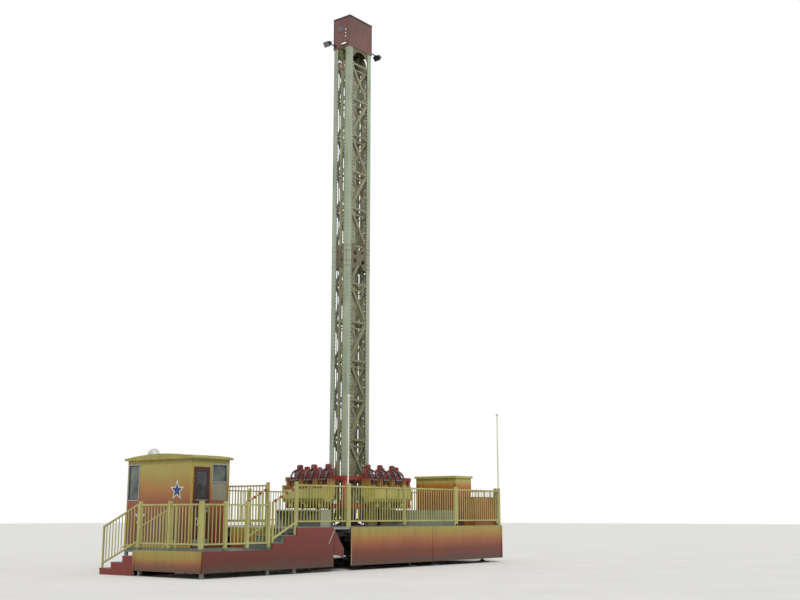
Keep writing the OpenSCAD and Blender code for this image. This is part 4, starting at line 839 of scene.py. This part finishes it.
# Finer bracing. Lighter flat diagonals cross the main one in every bay, a second level bar runs below each
# main one, and small gussets with a round hole are riveted at the ends. Slotted trays run up inside.
bay_low, bay_high = lattice_low.z + 0.03, lattice_high.z - 0.03
bay_count = int((bay_high - bay_low) / 1.21)
bay_tall = (bay_high - bay_low) / bay_count
faces = [(Matrix.Rotation(math.radians(turn), 4, "Z"), reach, half) for turn, reach, half in (
    (0, mast_high.y, mast_high.x), (180, mast_high.y, mast_high.x), (90, mast_high.x, mast_high.y),
    (-90, mast_high.x, mast_high.y))]


def in_fold(z, clear=0.1):
    """Says whether a height is at the bolted fold, which the splice plates cover."""
    return fold_low - clear < z < fold_high + clear


def ring_points(middle, radius, angles):
    """Places round a point, in the plane of a mast side."""
    return [(middle[0] + radius * math.cos(t), middle[1] + radius * math.sin(t)) for t in angles]


bracing, gussets, rivet_spots = bmesh.new(), bmesh.new(), []
around = [math.tau * k / 16 for k in range(16)]
for spin, reach, half in faces:
    span, inside = half - 0.09, -reach + 0.05
    for i in range(bay_count):
        sign, z = -1 if i % 2 == 0 else 1, bay_low + i * bay_tall
        a, b = Vector((-sign * span, inside, z)), Vector((sign * span, inside, z + bay_tall))
        if a.z > fold_high or b.z < fold_low:
            sweep(bracing, straight(spin @ a, spin @ b), spin @ along_y, 0.01, 0.05, count=8, square=0.4)
    for i in range(bay_count + 1):
        z = bay_low + i * bay_tall
        if in_fold(z):
            continue
        if i and not in_fold(z - 0.2):
            path = straight(spin @ Vector((-span, inside, z - 0.2)), spin @ Vector((span, inside, z - 0.2)))
            sweep(bracing, path, Vector((0, 0, 1)), 0.045, 0.01, count=8, square=0.4)
        for side in (-1, 1):
            at = (side * (half - 0.21), z)
            rows = [[gussets.verts.new(spin @ Vector((px, -reach + y, pz)))
                     for px, pz in ring_points(at, radius, around)]
                    for radius, y in ((0.075, 0.012), (0.075, 0.02), (0.03, 0.02), (0.03, 0.012))]
            for near, far in zip(rows, rows[1:] + rows[:1]):
                for k in range(16):
                    gussets.faces.new((near[k], near[k - 15], far[k - 15], far[k]))
            rivet_spots.append([(spin @ Vector((px, -reach + 0.012, pz)), spin @ -along_y)
                                for px, pz in ring_points(at, 0.055, (0.8, 2.35, 3.95, 5.5))])
settle("mast_fine_bracing", bracing, lattice_paint)
settle("mast_gussets", gussets, lattice_paint)

tray_paint = painted_steel("tray_paint", "9b9a82", "85836c", dirt=0.5, chips=0.3)
# Lattice and trays grow darker and browner towards the bottom and lighter higher up.
for paint in (lattice_paint, tray_paint):
    lighter_with_height = paint.ramp(paint.axis("Z"), 2.0, 13.0) * 0.6 + 0.4
    paint.feed(Base_Color=paint.mix(lighter_with_height, "67623f", paint.base))
trays, rail, lip, thick = bmesh.new(), 0.03, 0.03, 0.004
beside_leg = (mast_high.x - 0.085, -lip, -0.262, -0.048, False)
beside_guide = (0.085 - mast_high.y, lip, -0.375, -0.075, True)
for flat, inwards, edge_a, edge_b, crosswise in (beside_leg, beside_guide):
    for low, high in ((bay_low, fold_low - 0.05), (fold_high + 0.05, bay_high - 0.3)):
        count = int((high - low) / 0.24)
        step = (high - low) / count
        bars = [(edge_a, edge_a + rail, low, high), (edge_b - rail, edge_b, low, high)]
        bars += [(edge_a + rail, edge_b - rail, low + step * k, low + step * (k + 0.93))
                 for k in range(count)]
        blocks = [((flat, a, z0), (flat + thick, b, z1)) for a, b, z0, z1 in bars]
        blocks += [((flat, edge, low), (flat + inwards, edge + thick, high))
                   for edge in (edge_a, edge_b - thick)]
        for block in blocks:
            add_block(trays, *([(y, x, z) for x, y, z in block] if crosswise else block))
settle("mast_cable_trays", trays, tray_paint)

# Fasteners of the mast. Hexagon bolts with washers clamp the splice plates, set on the points where they
# clamp, and flat rivets hold the gussets.
bolts = Repeat("bolt_heads", "Radius")
radius = bolts.sizes[0]
hexagon = bolts.shape("Cylinder", 0.011, Vertices=6, Radius=radius, Depth=0.016)
washer = bolts.shape("Cylinder", 0.0015, Vertices=20, Radius=radius * 1.5, Depth=0.003)
bolts.set_on(bolts.start, [hexagon, washer], alloy)
bolt_lines = [[(spin @ Vector((side * (half - x), -reach, z)), spin @ -along_y) for x in (0.04, 0.13)]
              for spin, reach, half in faces for side in (-1, 1) for z in (9.27, 9.43, 9.77, 9.93)]
bolts.grow("splice_bolts", bolt_lines, "dark_steel", smooth=False, Radius=0.014)
flat_rivets = Repeat("flat_rivets", "Radius")
head = flat_rivets.shape("Cylinder", 0.002, Vertices=10, Radius=flat_rivets.sizes[0], Depth=0.004)
flat_rivets.set_on(flat_rivets.start, [head], alloy)
flat_rivets.grow("bracing_rivets", rivet_spots, "dark_steel", smooth=False, Radius=0.008)


# Seat pads. Vinyl-covered foam squabs, back pads and head pads, sewn with piped edges and two channels and
# pressed into the shells; each is blown up as cloth from a slightly smaller block.
def blown_pad(name, size, swell, channels):
    """Mesh of a pad on its origin's plane: crowned by cloth pressure, then sewn in channels."""
    wide, high, thick = size
    form = bmesh.new()
    add_block(form, (-wide / 2, -high / 2, 0.002), (wide / 2, high / 2, thick * 0.62))
    pad = put(name, mesh_of(name, form))
    rounded = pad.modifiers.new("bevel", "BEVEL")
    rounded.width = thick * 0.25
    rounded.segments = 3
    pad.modifiers.new("remesh", "REMESH").voxel_size = 0.013
    start = bpy.data.meshes.new_from_object(pad.evaluated_get(bpy.context.evaluated_depsgraph_get()))
    pad.modifiers.clear()
    pad.data = start
    rest = [v.co.copy() for v in start.vertices]
    held = pad.vertex_groups.new(name="held")
    held.add([v.index for v in start.vertices if v.co.z < 0.006], 1.0, "REPLACE")
    cloth = pad.modifiers.new("cloth", "CLOTH")
    cloth.settings.use_pressure = True
    cloth.settings.uniform_pressure_force = 4
    cloth.settings.vertex_group_mass = "held"
    cloth.settings.effector_weights.gravity = 0
    for step in range(1, 21):
        bpy.context.scene.frame_set(step)
    blown = bpy.data.meshes.new_from_object(pad.evaluated_get(bpy.context.evaluated_depsgraph_get()))
    bpy.context.scene.frame_set(1)
    moved = [v.co.copy() for v in blown.vertices]
    pad.modifiers.clear()
    for vertex, old, new in zip(start.vertices, rest, moved):
        step = new - old
        vertex.co = old + step * min(1, swell / max(step.length, 1e-6))
    seam_half, seam_deep = 0.011, 0.011
    for vertex in start.vertices:
        x, y, z = vertex.co
        sewn = sum(math.exp(-(((y - line) / seam_half) ** 2)) for line in channels)
        vertex.co.x = max(-wide / 2, min(wide / 2, x))
        vertex.co.y = max(-high / 2, min(high / 2, y))
        vertex.co.z = max(0.0, min(thick, z - seam_deep * sewn * (z > thick * 0.3)))
    bpy.data.objects.remove(pad)
    return start


vinyl = Finish("pad_vinyl", "5c1f1e", Coat_Weight=0.08)
grain = vinyl.node("ShaderNodeTexVoronoi", {"feature": "DISTANCE_TO_EDGE"}, Vector=vinyl.place, Scale=420.0)
rubbed = vinyl.ramp(vinyl.noise(5, 4), 0.5, 0.7)
vinyl.feed(Base_Color=vinyl.mix(rubbed * 0.6, "5c1f1e", "7a3a33"), Roughness=0.5 - rubbed * 0.15)
vinyl.bump(vinyl.ramp(grain, 0.0, 0.12) + vinyl.noise(9, 2) * 2.0, 0.0006)
ring_out = corners("carriage_ring_low")[1]
seat_pitch = 0.58
seat_places = [
    Matrix.Rotation(math.radians(turn), 4, "Z") @ Matrix.Translation((i * seat_pitch, -reach, 0))
    for turn, reach in ((0, ring_out.y), (180, ring_out.y), (90, ring_out.x), (-90, ring_out.x))
    for i in (-1, 0, 1)]
upright = Matrix.Rotation(math.radians(90), 4, "X")
squab = blown_pad("squab", (0.445, 0.42, 0.062), 0.018, (-0.07, 0.07))
backrest = blown_pad("backrest", (0.4, 0.4, 0.05), 0.016, (-0.1, 0.0, 0.1))
headrest = blown_pad("headrest", (0.18, 0.16, 0.045), 0.014, ())
for name, pad, pose in (("seat_squabs", squab, Matrix.Translation((0, -0.285, 2.221))),
                        ("seat_backs", backrest, Matrix.Translation((0, -0.061, 2.51)) @ upright),
                        ("seat_heads", headrest, Matrix.Translation((0, -0.051, 2.85)) @ upright)):
    row = bmesh.new()
    for place in seat_places:
        copy = pad.copy()
        copy.transform(place @ pose)
        row.from_mesh(copy)
    mesh = mesh_of(name, row)
    mesh.materials.append(vinyl.material)
    mesh.shade_smooth()
    pads = put(name, mesh)
    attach(pads, "carriage")

# Restraints. Foam-moulded shoulder arms on steel cores that curve forward and down from the top of the seat
# back and meet in a chest pad.
arms, across = bmesh.new(), Vector((1, 0, 0))
one_seat = bmesh.new()
for x in (-0.125, 0.125):
    middle, radius = Vector((x, -0.05, 2.54)), 0.2325
    bend = [middle + Vector((0, -math.sin(a), math.cos(a))) * radius
            for a in (math.radians(4 + 86 * i / 16) for i in range(17))]
    drop = [middle + Vector((0, -radius, -0.02 * i)) for i in range(1, 6)]
    sweep(one_seat, bend + drop, across, 0.049, 0.054)
chest = [Vector((-0.149 + 0.298 * i / 14, -0.3, 2.47 - 0.004 * math.sin(math.pi * i / 14)))
         for i in range(15)]
sweep(one_seat, chest, Vector((0, 0, 1)), 0.076, 0.066)
one_seat = mesh_of("arm", one_seat)
for place in seat_places:
    copy = one_seat.copy()
    copy.transform(place)
    arms.from_mesh(copy)
shoulder_arms = settle("shoulder_arms", arms, restraint_foam, "carriage", smooth_angle=1.2)
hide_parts("restraints")
